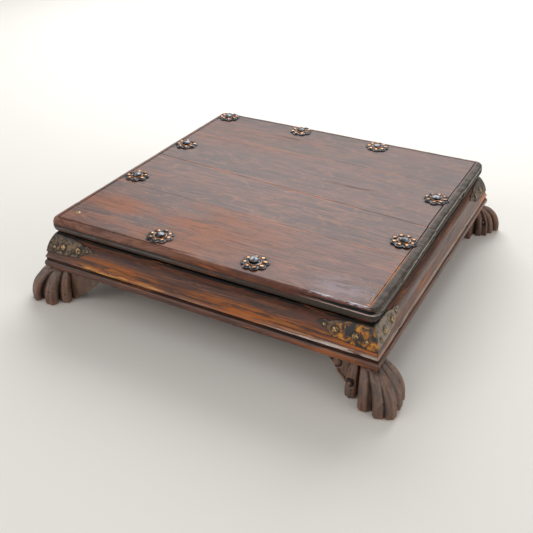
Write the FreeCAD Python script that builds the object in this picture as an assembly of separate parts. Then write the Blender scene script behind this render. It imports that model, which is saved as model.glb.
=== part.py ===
import FreeCAD, Part
import math
import os

Vector = FreeCAD.Vector

# A low square table on carved corner feet. Millimetres, Z up, X to the right, Y to the back,
# with the origin on the floor under the middle of the table.

# Overall sizes
table_width = 484.0  # across the lip of the apron, left to right
table_depth = 472.0  # across the lip of the apron, front to back
foot_height = 50.0
apron_height = 51.5
board_thickness = 21.5

# Section of the apron rail. Insets run inwards from the outermost line of the lip,
# and heights run up from its underside.
rail_width = 52.0
lip_foot_inset = 1.2
bead_middle_height = 4.4
bead_top_inset = 1.8
bead_top_height = 8.6
groove_inset = 3.6
groove_height = 9.4
fillet_inset = 2.6
fillet_low_height = 10.2
fillet_high_height = 11.8
quirk_inset = 4.6
quirk_height = 12.6
crest_low_inset = 1.8
crest_low_height = 13.6
crest_inset = 1.6
crest_height = 14.6
flare_middle_inset = 3.5
flare_middle_height = 17.6
band_bottom_inset = 4.6
band_bottom_height = 21.2
band_middle_inset = 9.0
band_middle_height = 36.0
band_top_inset = 16.5
neck_inset = 29.0
neck_height = 3.0

# Top: four boards side by side, with a half-round nose and a quirk line round the edge
board_inset = 10.6  # from the lip line to the outermost line of the nose
nose_top_radius = 9.4
nose_bottom_radius = 8.0
plan_corner_ease = 2.6  # added to the larger nose radius for the corners in plan
quirk_line_inset = 11.0
quirk_line_width = 1.3
quirk_line_depth = 1.3
board_gap = 0.2
joint_left_shares = (-0.39, 0.08, 0.52)  # where the joints meet the left end, of half the top's depth
joint_right_shares = (-0.47, -0.08, 0.51)
dowel_radius = 4.0
dowel_length = 42.0
dowel_place_shares = (-0.62, 0.0, 0.62)  # along the joint, as shares of half the top's width

# Battens under the boards
batten_width = 34.0
batten_height = 17.0
batten_spacing = 236.0
batten_chamfer = 4.0
batten_nail_edge = 26.0  # from a board's long edge to its nearer nail

# Loose keys across the mitres of the apron
key_outer_inset = 25.0
key_inner_inset = 47.0
key_width = 28.0
key_thickness = 6.0
key_height = 34.0  # from the underside of the apron to the key

# Foot pegs
peg_radius = 9.0
peg_inset = 25.0  # from both lip lines
peg_depth_in_foot = 28.0
peg_depth_in_rail = 24.0
peg_chamfer = 1.2

# Feet: toes fan out from an axis inside the corner, and two brackets run under the rails.
# Toes are listed from the left or right side towards the front or back side, with their angles
# in degrees from the diagonal of the corner. A carved foot ends with a short toe under a boss.
toe_axis_inset = 30.0
front_toe_angles = (-41.0, -23.0, -8.0, 2.0, 17.0, 50.0)
front_toe_reach_shares = (1.09, 1.12, 1.13, 1.01, 0.88, 0.62)
front_toe_width_shares = (0.85, 0.92, 0.85, 0.97, 1.0, 0.85)
plain_toe_angles = (-41.0, -23.0, -9.0, 2.0, 22.0, 41.0)
plain_toe_reach_shares = (1.05, 1.12, 1.05, 0.99, 0.93, 0.68)
plain_toe_width_shares = (0.85, 0.92, 0.8, 0.8, 1.2, 1.0)
back_toe_angles = (38.0, 22.0, 8.0, -2.0, -9.0, -18.0)
back_toe_reach_shares = (0.92, 0.93, 0.98, 1.06, 0.88, 0.62)
back_toe_width_shares = (0.85, 0.9, 0.85, 0.75, 0.7, 0.8)
toe_top_size = 15.0  # from the toe axis, for a toe that points straight along a side
toe_top_drop = 0.8
toe_size = 51.5
toe_squareness = 6.0  # power of the rounded square that the toe tips follow
toe_top_half_width = 4.6
toe_half_width = 8.6
toe_thickness_share = 0.78
toe_tip_height = 5.0
toe_tip_width_shares = (0.92, 0.6)
toe_overrun = 0.9  # below the floor, cut off flat
toe_steps = 4
core_long_inset = 28.0  # the sides of the wood behind the toes, at its longer and shorter face
core_short_inset = 17.0
core_top_size = 19.0  # from the toe axis to the outer faces of the wood behind the toes
core_size = 41.0
bracket_inset = 10.0
bracket_thickness = 26.0
bracket_tip_height = 3.0
carved_bracket_reach = 72.0
carved_cusp_inset = 52.5
carved_cusp_drop = 27.5
carved_base_inset = 38.0
carved_upper_swell = 2.6
carved_lower_swell = 2.6
plain_bracket_reach = 92.0
plain_cusp_inset = 66.0
plain_cusp_drop = 26.5
plain_base_inset = 36.0
plain_upper_swell = 0.8
plain_lower_swell = 0.8
ring_setback = 17.0  # from the bracket's tip to the middle of the carved ring
ring_drop = 13.0
ring_radius = 6.4
ring_groove_radius = 1.5
ring_pearl_radius = 3.6
ring_pearl_height = 1.6
boss_radius = 4.2
boss_height = 2.4
boss_way_share = 0.72  # down the toe that carries it, from the apron to the floor

# Iron corner straps, laid over the band of the apron
strap_gauge = 1.0
strap_reach = 82.0  # along each rail, to the tip
strap_low_height = 21.8  # above the underside of the apron, at the corner
strap_high_height = 47.6
strap_station_shares = (0.51, 0.73, 0.81, 0.87)  # of the reach: shoulder, lobe, waist, tip
strap_low_edge_shares = (0.0, 0.07, 0.18, 0.43, 0.44)  # of the width, at the corner and the stations
strap_high_edge_shares = (1.0, 0.97, 0.88, 0.77, 0.82)
strap_point_share = 0.63
strap_nail_reach_shares = (0.22, 0.4, 0.7, 0.87)
strap_nail_height_shares = (0.37, 0.47, 0.5, 0.61)  # of the strap's width, from its lower edge
strap_nail_size_shares = (0.52, 1.0, 1.0, 0.55)
strap_nail_head_radius = 4.3
strap_nail_length = 22.0

# Nails
nail_radius = 1.5
nail_point_length = 3.0
nail_dome_share = 0.45  # height of the head as a share of its radius

# Brass flowers nailed round the top
flower_petals = 8
flower_tip_radius = 18.6
flower_valley_radius = 14.2
flower_thickness = 1.2
flower_pearl_place = 13.4
flower_pearl_radius = 3.7
flower_pearl_height = 1.9
flower_cup_radius = 8.6
flower_cup_height = 1.5
flower_inset = 38.2  # from the lip line to the middle of a flower
flower_place_share = 1 / 3  # from the middle of a side to its flowers, of the way to the corner flower
flower_nail_head_radius = 6.2
flower_nail_length = 31.0
stub_head_radius = 3.8
stub_head_height = 0.6

overrun = 1.0  # how far a cutting shape runs past the surface that it cuts

# Levels and half sizes worked out from the sizes above
apron_bottom = foot_height
board_bottom = foot_height + apron_height
board_top = board_bottom + board_thickness
half_width = table_width / 2
half_depth = table_depth / 2
top_half_width = half_width - board_inset
top_half_depth = half_depth - board_inset
shelf_height = apron_height - neck_height
up = Vector(0, 0, 1)
corners = {
    "front_left": (-1, -1),
    "front_right": (1, -1),
    "back_left": (-1, 1),
    "back_right": (1, 1),
}


def block(low, high):
    """A box between two opposite corners."""
    size = high - low
    return Part.makeBox(size.x, size.y, size.z, low)


def corner_point(inset_x, inset_y, z):
    """A point given by its insets from the two lip lines of the back right corner."""
    return Vector(half_width - inset_x, half_depth - inset_y, z)


def to_corner(shape, signs):
    """Carries a shape made at the back right corner to another corner."""
    if signs[0] < 0:
        shape = shape.mirror(Vector(0, 0, 0), Vector(1, 0, 0))
    if signs[1] < 0:
        shape = shape.mirror(Vector(0, 0, 0), Vector(0, 1, 0))
    return shape


def swap_sides(shape):
    """Mirrors a shape at the back right corner across the mitre, from the back side to the right side."""
    return shape.mirror(corner_point(0, 0, 0), Vector(1, -1, 0))


def sagged_arc(start, end, sagitta, outward):
    """An arc from start to end, whose middle stands out from the chord by the sagitta."""
    middle = (start + end) / 2 + outward.normalize() * sagitta
    return Part.Arc(start, middle, end).toShape()


def spherical_cap(radius, height):
    """A cap that stands on the XY plane, with a short root below it."""
    ball_radius = (radius**2 + height**2) / (2 * height)
    ball = Part.makeSphere(ball_radius, Vector(0, 0, height - ball_radius))
    keep = Part.makeCylinder(radius, 2 * height, Vector(0, 0, -height))
    return ball.common(keep)


def nail(head_radius, head_height, length):
    """A nail whose head stands on the XY plane, with its shank pointing down."""
    crown = Vector(0, 0, head_height)
    rim = Vector(head_radius, 0, 0)
    shoulder = Vector(head_radius * math.sin(math.pi / 4), 0, head_height * math.cos(math.pi / 4))
    neck = Vector(nail_radius, 0, 0)
    taper = Vector(nail_radius, 0, nail_point_length - length)
    point = Vector(0, 0, -length)
    edges = [
        Part.Arc(crown, shoulder, rim).toShape(),
        Part.makeLine(rim, neck),
        Part.makeLine(neck, taper),
        Part.makeLine(taper, point),
        Part.makeLine(point, crown),
    ]
    full_turn = 360
    return Part.Face(Part.Wire(edges)).revolve(Vector(0, 0, 0), up, full_turn)


def placed(shape, base, direction=up):
    """A copy of a shape whose own Z axis is turned to a direction and whose origin is at a point."""
    copy = shape.copy()
    copy.Placement = FreeCAD.Placement(base, FreeCAD.Rotation(up, direction))
    return copy


def section_point(inset, height):
    """A point of the back rail's section, in the plane X = 0."""
    return Vector(0, half_depth - inset, apron_bottom + height)


def band_arc():
    """The curved face of the apron above the lip, as an arc in the back rail's section."""
    low = section_point(band_bottom_inset, band_bottom_height)
    middle = section_point(band_middle_inset, band_middle_height)
    high = section_point(band_top_inset, shelf_height)
    return Part.Arc(low, middle, high)


def rail_section():
    """The moulded section: bead, groove, fillet, quirk, flared crest, band, shelf and neck."""
    corner = section_point(lip_foot_inset, 0)
    bead_middle = section_point(0, bead_middle_height)
    bead_high = section_point(bead_top_inset, bead_top_height)
    groove = section_point(groove_inset, groove_height)
    fillet_low = section_point(fillet_inset, fillet_low_height)
    fillet_high = section_point(fillet_inset, fillet_high_height)
    quirk = section_point(quirk_inset, quirk_height)
    crest_low = section_point(crest_low_inset, crest_low_height)
    crest = section_point(crest_inset, crest_height)
    flare_middle = section_point(flare_middle_inset, flare_middle_height)
    band_low = section_point(band_bottom_inset, band_bottom_height)
    band_high = section_point(band_top_inset, shelf_height)
    neck_low = section_point(neck_inset, shelf_height)
    neck_high = section_point(neck_inset, apron_height)
    inner_high = section_point(rail_width, apron_height)
    inner_low = section_point(rail_width, 0)
    edges = [
        Part.Arc(corner, bead_middle, bead_high).toShape(),
        Part.makeLine(bead_high, groove),
        Part.makeLine(groove, fillet_low),
        Part.makeLine(fillet_low, fillet_high),
        Part.makeLine(fillet_high, quirk),
        Part.makeLine(quirk, crest_low),
        Part.makeLine(crest_low, crest),
        Part.Arc(crest, flare_middle, band_low).toShape(),
        band_arc().toShape(),
        Part.makeLine(band_high, neck_low),
        Part.makeLine(neck_low, neck_high),
        Part.makeLine(neck_high, inner_high),
        Part.makeLine(inner_high, inner_low),
        Part.makeLine(inner_low, corner),
    ]
    return Part.Face(Part.Wire(edges))


def mitre_prism(half_length, half_across):
    """The place of a rail along the back of a rectangle, cut off at 45 degrees at both ends."""
    depth = rail_width + overrun
    outline = [
        Vector(half_length + overrun, half_across + overrun, 0),
        Vector(half_length - depth, half_across - depth, 0),
        Vector(depth - half_length, half_across - depth, 0),
        Vector(-half_length - overrun, half_across + overrun, 0),
    ]
    face = Part.Face(Part.makePolygon(outline + outline[:1]))
    return face.extrude(Vector(0, 0, board_top))


def back_rail():
    """The back rail, mitred at both ends."""
    face = rail_section()
    face.translate(Vector(-half_width, 0, 0))
    return face.extrude(Vector(table_width, 0, 0)).common(mitre_prism(half_width, half_depth))


def right_rail():
    """The right rail: the same section, turned to run front to back."""
    face = rail_section()
    face.translate(Vector(0, half_width - half_depth, 0))
    face.rotate(Vector(0, 0, 0), up, -90)
    face.translate(Vector(0, -half_depth, 0))
    stick = face.extrude(Vector(0, table_depth, 0))
    prism = mitre_prism(half_depth, half_width)
    prism.rotate(Vector(0, 0, 0), up, -90)
    return stick.common(prism)


def corner_key():
    """A flat wooden key that lies across a mitre."""
    length = (key_inner_inset - key_outer_inset) * math.sqrt(2)
    key = Part.makeBox(length, key_width, key_thickness, Vector(0, -key_width / 2, 0))
    key.rotate(Vector(0, 0, 0), up, -135)
    key.translate(corner_point(key_outer_inset, key_outer_inset, apron_bottom + key_height))
    return key


def foot_peg():
    """A round peg that joins a foot to the mitre above it."""
    length = peg_depth_in_foot + peg_depth_in_rail
    low = corner_point(peg_inset, peg_inset, apron_bottom - peg_depth_in_foot)
    peg = Part.makeCylinder(peg_radius, length, low)
    rims = [e for e in peg.Edges if isinstance(e.Curve, Part.Circle)]
    return peg.makeChamfer(peg_chamfer, rims)


def toe_radius(angle, size):
    """Distance from the toe axis to a rounded square of a half size, in a direction."""
    turn = math.radians(angle)
    total = abs(math.cos(turn)) ** toe_squareness + abs(math.sin(turn)) ** toe_squareness
    return size / total ** (1 / toe_squareness)


def toe_station(sizes, way_share):
    """Place, heading and half width of a toe, part of the way down from the apron to its landing."""
    diagonal_angle, reach_share, width_share = sizes
    angle = 45 + diagonal_angle
    turn = math.radians(angle)
    outward = Vector(math.cos(turn), math.sin(turn), 0)
    half_width_low = toe_half_width * width_share
    top_drop = toe_top_drop + toe_top_half_width * toe_thickness_share
    start = toe_radius(angle, toe_top_size)
    run = toe_radius(angle, toe_size) * reach_share - half_width_low * toe_thickness_share - start
    fall = foot_height - top_drop - toe_tip_height
    phase = math.pi / 2 * way_share
    radius = start + run * math.sin(phase)
    z = toe_tip_height + fall * math.cos(phase)
    heading = outward * (run * math.cos(phase)) - up * (fall * math.sin(phase))
    spread = toe_top_half_width + (half_width_low - toe_top_half_width) * math.sin(phase)
    place = corner_point(toe_axis_inset, toe_axis_inset, z) + outward * radius
    return place, heading.normalize(), spread


def toe(sizes):
    """A toe: ellipses lofted along a quarter of an ellipse that leaves the apron flat and lands upright."""
    turn = math.radians(45 + sizes[0])
    sideways = Vector(-math.sin(turn), math.cos(turn), 0)
    wires = []

    def add_section(place, direction, half_width_here):
        thickness = half_width_here * toe_thickness_share
        ellipse = Part.Ellipse(Vector(0, 0, 0), half_width_here, thickness).toShape()
        inward = direction.cross(sideways)
        turned = FreeCAD.Rotation(sideways, inward, direction, "ZXY")
        ellipse.Placement = FreeCAD.Placement(place, turned)
        wires.append(Part.Wire([ellipse]))

    for step in range(toe_steps + 1):
        place, heading, spread = toe_station(sizes, step / toe_steps)
        add_section(place, heading, spread)
    for z, width_share in zip((toe_tip_height / 3, -toe_overrun), toe_tip_width_shares):
        add_section(Vector(place.x, place.y, z), -up, spread * width_share)
    return Part.makeLoft(wires, True, False)


def boss(sizes):
    """A domed boss on the outer face of a toe."""
    place, heading, spread = toe_station(sizes, boss_way_share)
    turn = math.radians(45 + sizes[0])
    outward = Vector(-math.sin(turn), math.cos(turn), 0).cross(heading)
    seat = place + outward * spread * toe_thickness_share
    return placed(spherical_cap(boss_radius, boss_height), seat, outward)


def foot_core(side_inset, face_inset):
    """The wood behind the toes, which follows the same quarter of an ellipse."""
    wires = []
    for step in range(toe_steps + 1):
        phase = math.pi / 2 * step / toe_steps
        inset = toe_axis_inset - core_top_size - (core_size - core_top_size) * math.sin(phase)
        z = foot_height * math.cos(phase)
        outline = [
            corner_point(inset, inset, z),
            corner_point(side_inset, inset, z),
            corner_point(side_inset, face_inset, z),
            corner_point(inset, face_inset, z),
        ]
        wires.append(Part.makePolygon(outline + outline[:1]))
    return Part.makeLoft(wires, True, False)


def bracket(reach, cusp_inset, cusp_drop, base_inset, upper_swell, lower_swell):
    """A bracket under the back rail. Two curves run from its tip past a cusp to the floor."""
    y = half_depth - bracket_inset

    def at(inset, z):
        return Vector(half_width - inset, y, z)

    root = at(bracket_inset, foot_height)
    tip = at(reach, foot_height)
    tip_low = at(reach, foot_height - bracket_tip_height)
    cusp = at(cusp_inset, foot_height - cusp_drop)
    base = at(base_inset, 0)
    base_root = at(bracket_inset, 0)
    outward = Vector(-1, 0, -1)
    edges = [
        Part.makeLine(root, tip),
        Part.makeLine(tip, tip_low),
        sagged_arc(tip_low, cusp, upper_swell, outward),
        sagged_arc(cusp, base, lower_swell, outward),
        Part.makeLine(base, base_root),
        Part.makeLine(base_root, root),
    ]
    return Part.Face(Part.Wire(edges)).extrude(Vector(0, -bracket_thickness, 0))


def carved_bracket():
    """A bracket with a ring round a pearl near its tip."""
    body = bracket(
        carved_bracket_reach,
        carved_cusp_inset,
        carved_cusp_drop,
        carved_base_inset,
        carved_upper_swell,
        carved_lower_swell,
    )
    y = half_depth - bracket_inset
    out = Vector(0, 1, 0)
    ring_centre = Vector(half_width - carved_bracket_reach + ring_setback, y, foot_height - ring_drop)
    body = body.cut(Part.makeTorus(ring_radius, ring_groove_radius, ring_centre, out))
    pearl = placed(spherical_cap(ring_pearl_radius, ring_pearl_height), ring_centre, out)
    return body.fuse(pearl)


def plain_bracket():
    """A longer bracket with no carving, whose lower edge runs almost straight to the floor."""
    return bracket(
        plain_bracket_reach,
        plain_cusp_inset,
        plain_cusp_drop,
        plain_base_inset,
        plain_upper_swell,
        plain_lower_swell,
    )


def foot(core, toe_table, brackets):
    """A foot at the back right corner. Both brackets are made for the back side, and one is swapped over."""
    back_bracket, side_bracket = brackets
    toes = [toe(sizes) for sizes in toe_table]
    body = core.fuse([back_bracket, swap_sides(side_bracket)] + toes)
    room = table_width / 2
    above = block(corner_point(room, room, foot_height), corner_point(-room, -room, 2 * foot_height))
    below = block(corner_point(room, room, -foot_height), corner_point(-room, -room, 0))
    return body.cut([above, below]).removeSplitter()


def feet():
    """The four feet, by corner. Only the front left one has no boss and a plain bracket at the front."""
    front_table = list(zip(front_toe_angles, front_toe_reach_shares, front_toe_width_shares))
    plain_table = list(zip(plain_toe_angles, plain_toe_reach_shares, plain_toe_width_shares))
    back_table = list(zip(back_toe_angles, back_toe_reach_shares, back_toe_width_shares))
    front_core = foot_core(core_short_inset, core_long_inset)
    back_core = foot_core(core_long_inset, core_short_inset)
    carved_pair = (carved_bracket(), carved_bracket())
    front = foot(front_core, front_table, carved_pair).fuse(boss(front_table[-1]))
    plain = foot(front_core, plain_table, (plain_bracket(), carved_bracket()))
    back = foot(back_core, back_table, carved_pair).fuse(boss(back_table[-1]))
    made = {"front_left": plain, "front_right": front, "back_left": back, "back_right": back}
    return {name: to_corner(made[name], signs) for name, signs in corners.items()}


def strap_outline():
    """The outline of one leaf of a strap, seen from the back, with a lobe before its pointed tip."""
    width = strap_high_height - strap_low_height
    reaches = [-overrun] + [strap_reach * share for share in strap_station_shares]

    def at(reach, height_share):
        z = apron_bottom + strap_low_height + width * height_share
        return Vector(half_width - reach, half_depth - rail_width, z)

    low = [at(*place) for place in zip(reaches, strap_low_edge_shares)]
    high = [at(*place) for place in zip(reaches, strap_high_edge_shares)]
    point = at(strap_reach, strap_point_share)
    edges = [
        Part.makeLine(low[0], low[1]),
        Part.Arc(low[1], low[2], low[3]).toShape(),
        Part.makeLine(low[3], low[4]),
        Part.makeLine(low[4], point),
        Part.makeLine(point, high[4]),
        Part.makeLine(high[4], high[3]),
        Part.Arc(high[3], high[2], high[1]).toShape(),
        Part.makeLine(high[1], high[0]),
        Part.makeLine(high[0], low[0]),
    ]
    return Part.Face(Part.Wire(edges))


def strap():
    """An iron strap bent round the back right corner, one leaf on each rail."""
    band = band_arc().toShape().Curve
    start = band.Center - Vector(half_width, 0, 0)
    along = Vector(1, 0, 0)
    inner = Part.makeCylinder(band.Radius, table_width, start, along)
    outer = Part.makeCylinder(band.Radius + strap_gauge, table_width, start, along)
    prism = strap_outline().extrude(Vector(0, 2 * rail_width, 0))
    leaf = outer.cut(inner).common(prism).common(mitre_prism(half_width, half_depth))
    return leaf.fuse(swap_sides(leaf)).removeSplitter()


def strap_nails():
    """The nails of one strap, square to the band, on both of its leaves."""
    band = band_arc().toShape().Curve
    centre = band.Center
    reach = band.Radius + strap_gauge
    nails = []
    shares = zip(strap_nail_reach_shares, strap_nail_height_shares, strap_nail_size_shares)
    for reach_share, height_share, size_share in shares:
        inset = strap_reach * reach_share
        head_radius = strap_nail_head_radius * size_share
        z = apron_bottom + strap_low_height + (strap_high_height - strap_low_height) * height_share
        rise = (z - centre.z) / reach
        outward = Vector(0, math.sqrt(1 - rise**2), rise)
        base = Vector(half_width - inset, centre.y, centre.z) + outward * reach
        made = placed(nail(head_radius, head_radius * nail_dome_share, strap_nail_length), base, outward)
        nails += [made, swap_sides(made)]
    return nails


def top_slab():
    """The whole top before it is divided: a slab with a rounded nose and a quirk line."""
    corner_radius = max(nose_top_radius, nose_bottom_radius) + plan_corner_ease
    slab = block(
        Vector(-top_half_width, -top_half_depth, board_bottom),
        Vector(top_half_width, top_half_depth, board_top),
    )
    uprights = [e for e in slab.Edges if e.BoundBox.ZLength > e.BoundBox.DiagonalLength / 2]
    slab = slab.makeFillet(corner_radius, uprights)
    rim_high = [e for e in slab.Edges if e.BoundBox.ZMin > board_top - nose_top_radius / 2]
    slab = slab.makeFillet(nose_top_radius, rim_high)
    rim_low = [e for e in slab.Edges if e.BoundBox.ZMax < board_bottom + nose_bottom_radius / 2]
    slab = slab.makeFillet(nose_bottom_radius, rim_low)
    groove_half_width = top_half_width - quirk_line_inset
    groove_half_depth = top_half_depth - quirk_line_inset
    outer = block(
        Vector(-groove_half_width, -groove_half_depth, board_top - quirk_line_depth),
        Vector(groove_half_width, groove_half_depth, board_top + overrun),
    )
    inner_half_width = groove_half_width - quirk_line_width
    inner_half_depth = groove_half_depth - quirk_line_width
    inner = block(
        Vector(-inner_half_width, -inner_half_depth, board_bottom),
        Vector(inner_half_width, inner_half_depth, board_top + 2 * overrun),
    )
    return slab.cut(outer.cut(inner))


def joint_y(number, x):
    """Where a joint of the top lies at a place across the table. The boards taper a little."""
    left = joint_left_shares[number] * top_half_depth
    right = joint_right_shares[number] * top_half_depth
    return left + (right - left) * (x + top_half_width) / (2 * top_half_width)


def board_edges(x, low, high):
    """The edges of the four boards at a place across the table, from a front line to a back line."""
    return [low] + [joint_y(number, x) for number in range(len(joint_left_shares))] + [high]


def top_boards():
    """The four boards of the top, front to back."""
    slab = top_slab()
    reach = half_depth + board_gap
    left = board_edges(-half_width, -reach, reach)
    right = board_edges(half_width, -reach, reach)
    names = ("front", "middle_front", "middle_back", "back")
    boards = {}
    for number, name in enumerate(names):
        outline = [
            Vector(-half_width, left[number] + board_gap / 2, board_bottom - overrun),
            Vector(half_width, right[number] + board_gap / 2, board_bottom - overrun),
            Vector(half_width, right[number + 1] - board_gap / 2, board_bottom - overrun),
            Vector(-half_width, left[number + 1] - board_gap / 2, board_bottom - overrun),
        ]
        face = Part.Face(Part.makePolygon(outline + outline[:1]))
        keep = face.extrude(up * (board_thickness + 2 * overrun))
        boards["top_board_" + name] = slab.common(keep)
    return boards


def board_dowels():
    """Dowels that keep the joints of the top level."""
    dowels = []
    for number in range(len(joint_left_shares)):
        for place in dowel_place_shares:
            x = place * top_half_width
            start = Vector(x, joint_y(number, x) - dowel_length / 2, board_bottom + board_thickness / 2)
            dowels.append(Part.makeCylinder(dowel_radius, dowel_length, start, Vector(0, 1, 0)))
    return dowels


def batten(side):
    """A batten under the boards, between the front and back rails."""
    centre = side * batten_spacing / 2
    reach = half_depth - rail_width
    bar = block(
        Vector(centre - batten_width / 2, -reach, board_bottom - batten_height),
        Vector(centre + batten_width / 2, reach, board_bottom),
    )
    low = board_bottom - batten_height
    arrises = [
        e for e in bar.Edges if e.BoundBox.YLength > batten_width and e.BoundBox.ZMax < low + batten_chamfer
    ]
    return bar.makeChamfer(batten_chamfer, arrises)


def batten_nails(side):
    """Two nails through a batten into each board, driven from below."""
    x = side * batten_spacing / 2
    reach = half_depth - rail_width
    edges = board_edges(x, -reach, reach)
    head_radius = 2 * nail_radius
    length = batten_height + board_thickness / 2
    one = nail(head_radius, head_radius * nail_dome_share, length)
    nails = []
    for low, high in zip(edges, edges[1:]):
        for y in (low + batten_nail_edge, high - batten_nail_edge):
            base = Vector(x, y, board_bottom - batten_height)
            nails.append(placed(one, base, -up))
    return nails


def flower_places():
    """Name, place and turn of each flower that is still on the top."""
    across = half_width - flower_inset
    along = half_depth - flower_inset
    near_x = across * flower_place_share
    near_y = along * flower_place_share
    return {
        "back_left_corner": (-across, along),
        "back_left": (-near_x, along),
        "back_right": (near_x, along),
        "right_back": (across, near_y),
        "right_front": (across, -near_y),
        "front_right": (near_x, -along),
        "front_left": (-near_x, -along),
        "left_front": (-across, -near_y),
        "left_back": (-across, near_y),
    }


def flower():
    """A pressed brass flower with a pearl on each petal and a cupped middle."""
    step = 2 * math.pi / flower_petals

    def at(radius, turns):
        return Vector(radius * math.cos(turns * step), radius * math.sin(turns * step), 0)

    arcs = [
        Part.Arc(
            at(flower_valley_radius, k - 0.5),
            at(flower_tip_radius, k),
            at(flower_valley_radius, k + 0.5),
        ).toShape()
        for k in range(flower_petals)
    ]
    plate = Part.Face(Part.Wire(arcs)).extrude(up * flower_thickness)
    level = up * flower_thickness
    pearl = spherical_cap(flower_pearl_radius, flower_pearl_height)
    pearls = [placed(pearl, at(flower_pearl_place, k) + level) for k in range(flower_petals)]
    cup = placed(spherical_cap(flower_cup_radius, flower_cup_height), level)
    whole = plate.fuse(pearls + [cup])
    below = Part.makeCylinder(2 * flower_tip_radius, flower_tip_radius, Vector(0, 0, -flower_tip_radius))
    return whole.cut(below).removeSplitter()


def build():
    """Every piece of the table, by node name."""
    nodes = {}
    keys = {name: to_corner(corner_key(), signs) for name, signs in corners.items()}
    pegs = {name: to_corner(foot_peg(), signs) for name, signs in corners.items()}
    one_strap = strap()
    straps = {name: to_corner(one_strap, signs) for name, signs in corners.items()}
    one_set = strap_nails()
    nails_by_corner = {}
    for name, signs in corners.items():
        nails_by_corner[name] = [to_corner(made, signs) for made in one_set]

    flower_nail_head_height = flower_nail_head_radius * nail_dome_share
    flower_nail = nail(flower_nail_head_radius, flower_nail_head_height, flower_nail_length)
    flower_seat = board_top + flower_thickness + flower_cup_height
    flower_nails = []
    one_flower = flower()
    for name, (x, y) in flower_places().items():
        made = placed(flower_nail, Vector(x, y, flower_seat))
        flower_nails.append(made)
        nodes["flower_" + name] = placed(one_flower, Vector(x, y, board_top)).cut(made)
    stub_place = Vector(flower_inset - half_width, flower_inset - half_depth, board_top)
    stub = placed(nail(stub_head_radius, stub_head_height, flower_nail_length), stub_place)

    dowels = board_dowels()
    under_nails = {"left": batten_nails(-1), "right": batten_nails(1)}
    for name, board in top_boards().items():
        inserts = dowels + flower_nails + [stub] + under_nails["left"] + under_nails["right"]
        nodes[name] = board.cut(inserts)

    back = back_rail()
    right = right_rail()
    rails = {
        "rail_back": back,
        "rail_front": back.mirror(Vector(0, 0, 0), Vector(0, 1, 0)),
        "rail_right": right,
        "rail_left": right.mirror(Vector(0, 0, 0), Vector(1, 0, 0)),
    }
    rail_inserts = list(keys.values()) + list(pegs.values()) + flower_nails + [stub]
    for made in nails_by_corner.values():
        rail_inserts += made
    for name, rail in rails.items():
        nodes[name] = rail.cut(rail_inserts)

    carved_feet = feet()
    for name in corners:
        nodes["foot_" + name] = carved_feet[name].cut(pegs[name])
        nodes["foot_peg_" + name] = pegs[name]
        nodes["corner_key_" + name] = keys[name]
        nodes["corner_strap_" + name] = straps[name].cut(nails_by_corner[name])
        nodes["strap_nails_" + name] = Part.makeCompound(nails_by_corner[name])

    for name, side in (("left", -1), ("right", 1)):
        nodes["batten_" + name] = batten(side).cut(under_nails[name])
        nodes["batten_nails_" + name] = Part.makeCompound(under_nails[name])
    nodes["board_dowels"] = Part.makeCompound(dowels)
    nodes["flower_nails"] = Part.makeCompound(flower_nails)
    nodes["stub_nail_front_left"] = stub
    return nodes


def main():
    os.makedirs("parts", exist_ok=True)
    for name, shape in build().items():
        shape.exportStep(os.path.join("parts", name + ".step"))
        print(f"{name}: {len(shape.Solids)} solids, {shape.Volume / 1000:.1f} cm3, valid {shape.isValid()}")


main()
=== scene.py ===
# %% [markdown]
# This lesson dresses a low wooden table that stands on carved feet.
# The construction is finished: every board, rail, foot, strap and nail has its size and its place.
# Here the pieces get the surface of an old thing: knocked edges, worn polish, dark hollows and rubbed metal.
# The first cell loads the construction and measures it, and nothing in this script moves it.

# %% Load the construction
import math

import bpy
import numpy as np
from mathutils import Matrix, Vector


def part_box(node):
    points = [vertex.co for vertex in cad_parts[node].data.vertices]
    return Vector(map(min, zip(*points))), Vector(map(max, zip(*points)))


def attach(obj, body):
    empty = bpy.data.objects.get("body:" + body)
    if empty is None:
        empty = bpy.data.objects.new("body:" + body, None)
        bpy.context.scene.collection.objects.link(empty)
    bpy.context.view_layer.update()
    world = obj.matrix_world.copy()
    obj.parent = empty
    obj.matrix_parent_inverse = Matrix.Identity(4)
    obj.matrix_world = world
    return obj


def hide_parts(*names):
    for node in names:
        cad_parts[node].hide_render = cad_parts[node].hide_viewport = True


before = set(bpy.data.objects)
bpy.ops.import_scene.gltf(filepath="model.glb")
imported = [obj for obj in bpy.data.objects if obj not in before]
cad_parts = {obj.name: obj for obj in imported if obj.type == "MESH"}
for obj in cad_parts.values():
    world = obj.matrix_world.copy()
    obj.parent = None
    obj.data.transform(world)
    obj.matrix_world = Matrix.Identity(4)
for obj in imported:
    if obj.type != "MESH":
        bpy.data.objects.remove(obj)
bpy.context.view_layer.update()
scene = bpy.context.scene
print("pieces in the construction:", len(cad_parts))

# %% [markdown]
# A table is small, so the shapes below are worked out in millimetres and turned into metres once,
# where a mesh is made. The main sizes are read from the construction, so the dressed pieces follow it
# if it is built again in another size. A box gives two opposite corners of a piece.

# %% Sizes read from the construction
mm = 0.001


def corners_of(node):
    """The lowest and highest corner of a piece of the construction, in millimetres."""
    low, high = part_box(node)
    return low / mm, high / mm


front_low, front_high = corners_of("top_board_front")
back_high = corners_of("top_board_back")[1]
lip_low = corners_of("rail_front")[0]
lip_high = corners_of("rail_back")[1]
top_half_width = back_high.x
top_half_depth = back_high.y
board_bottom = front_low.z
board_top = front_high.z
half_width = lip_high.x
half_depth = lip_high.y
apron_bottom = lip_low.z
apron_top = lip_high.z
print(f"top {2 * top_half_width:.0f} x {2 * top_half_depth:.0f} mm")
print(f"apron {2 * half_width:.0f} x {2 * half_depth:.0f} mm")

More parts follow.
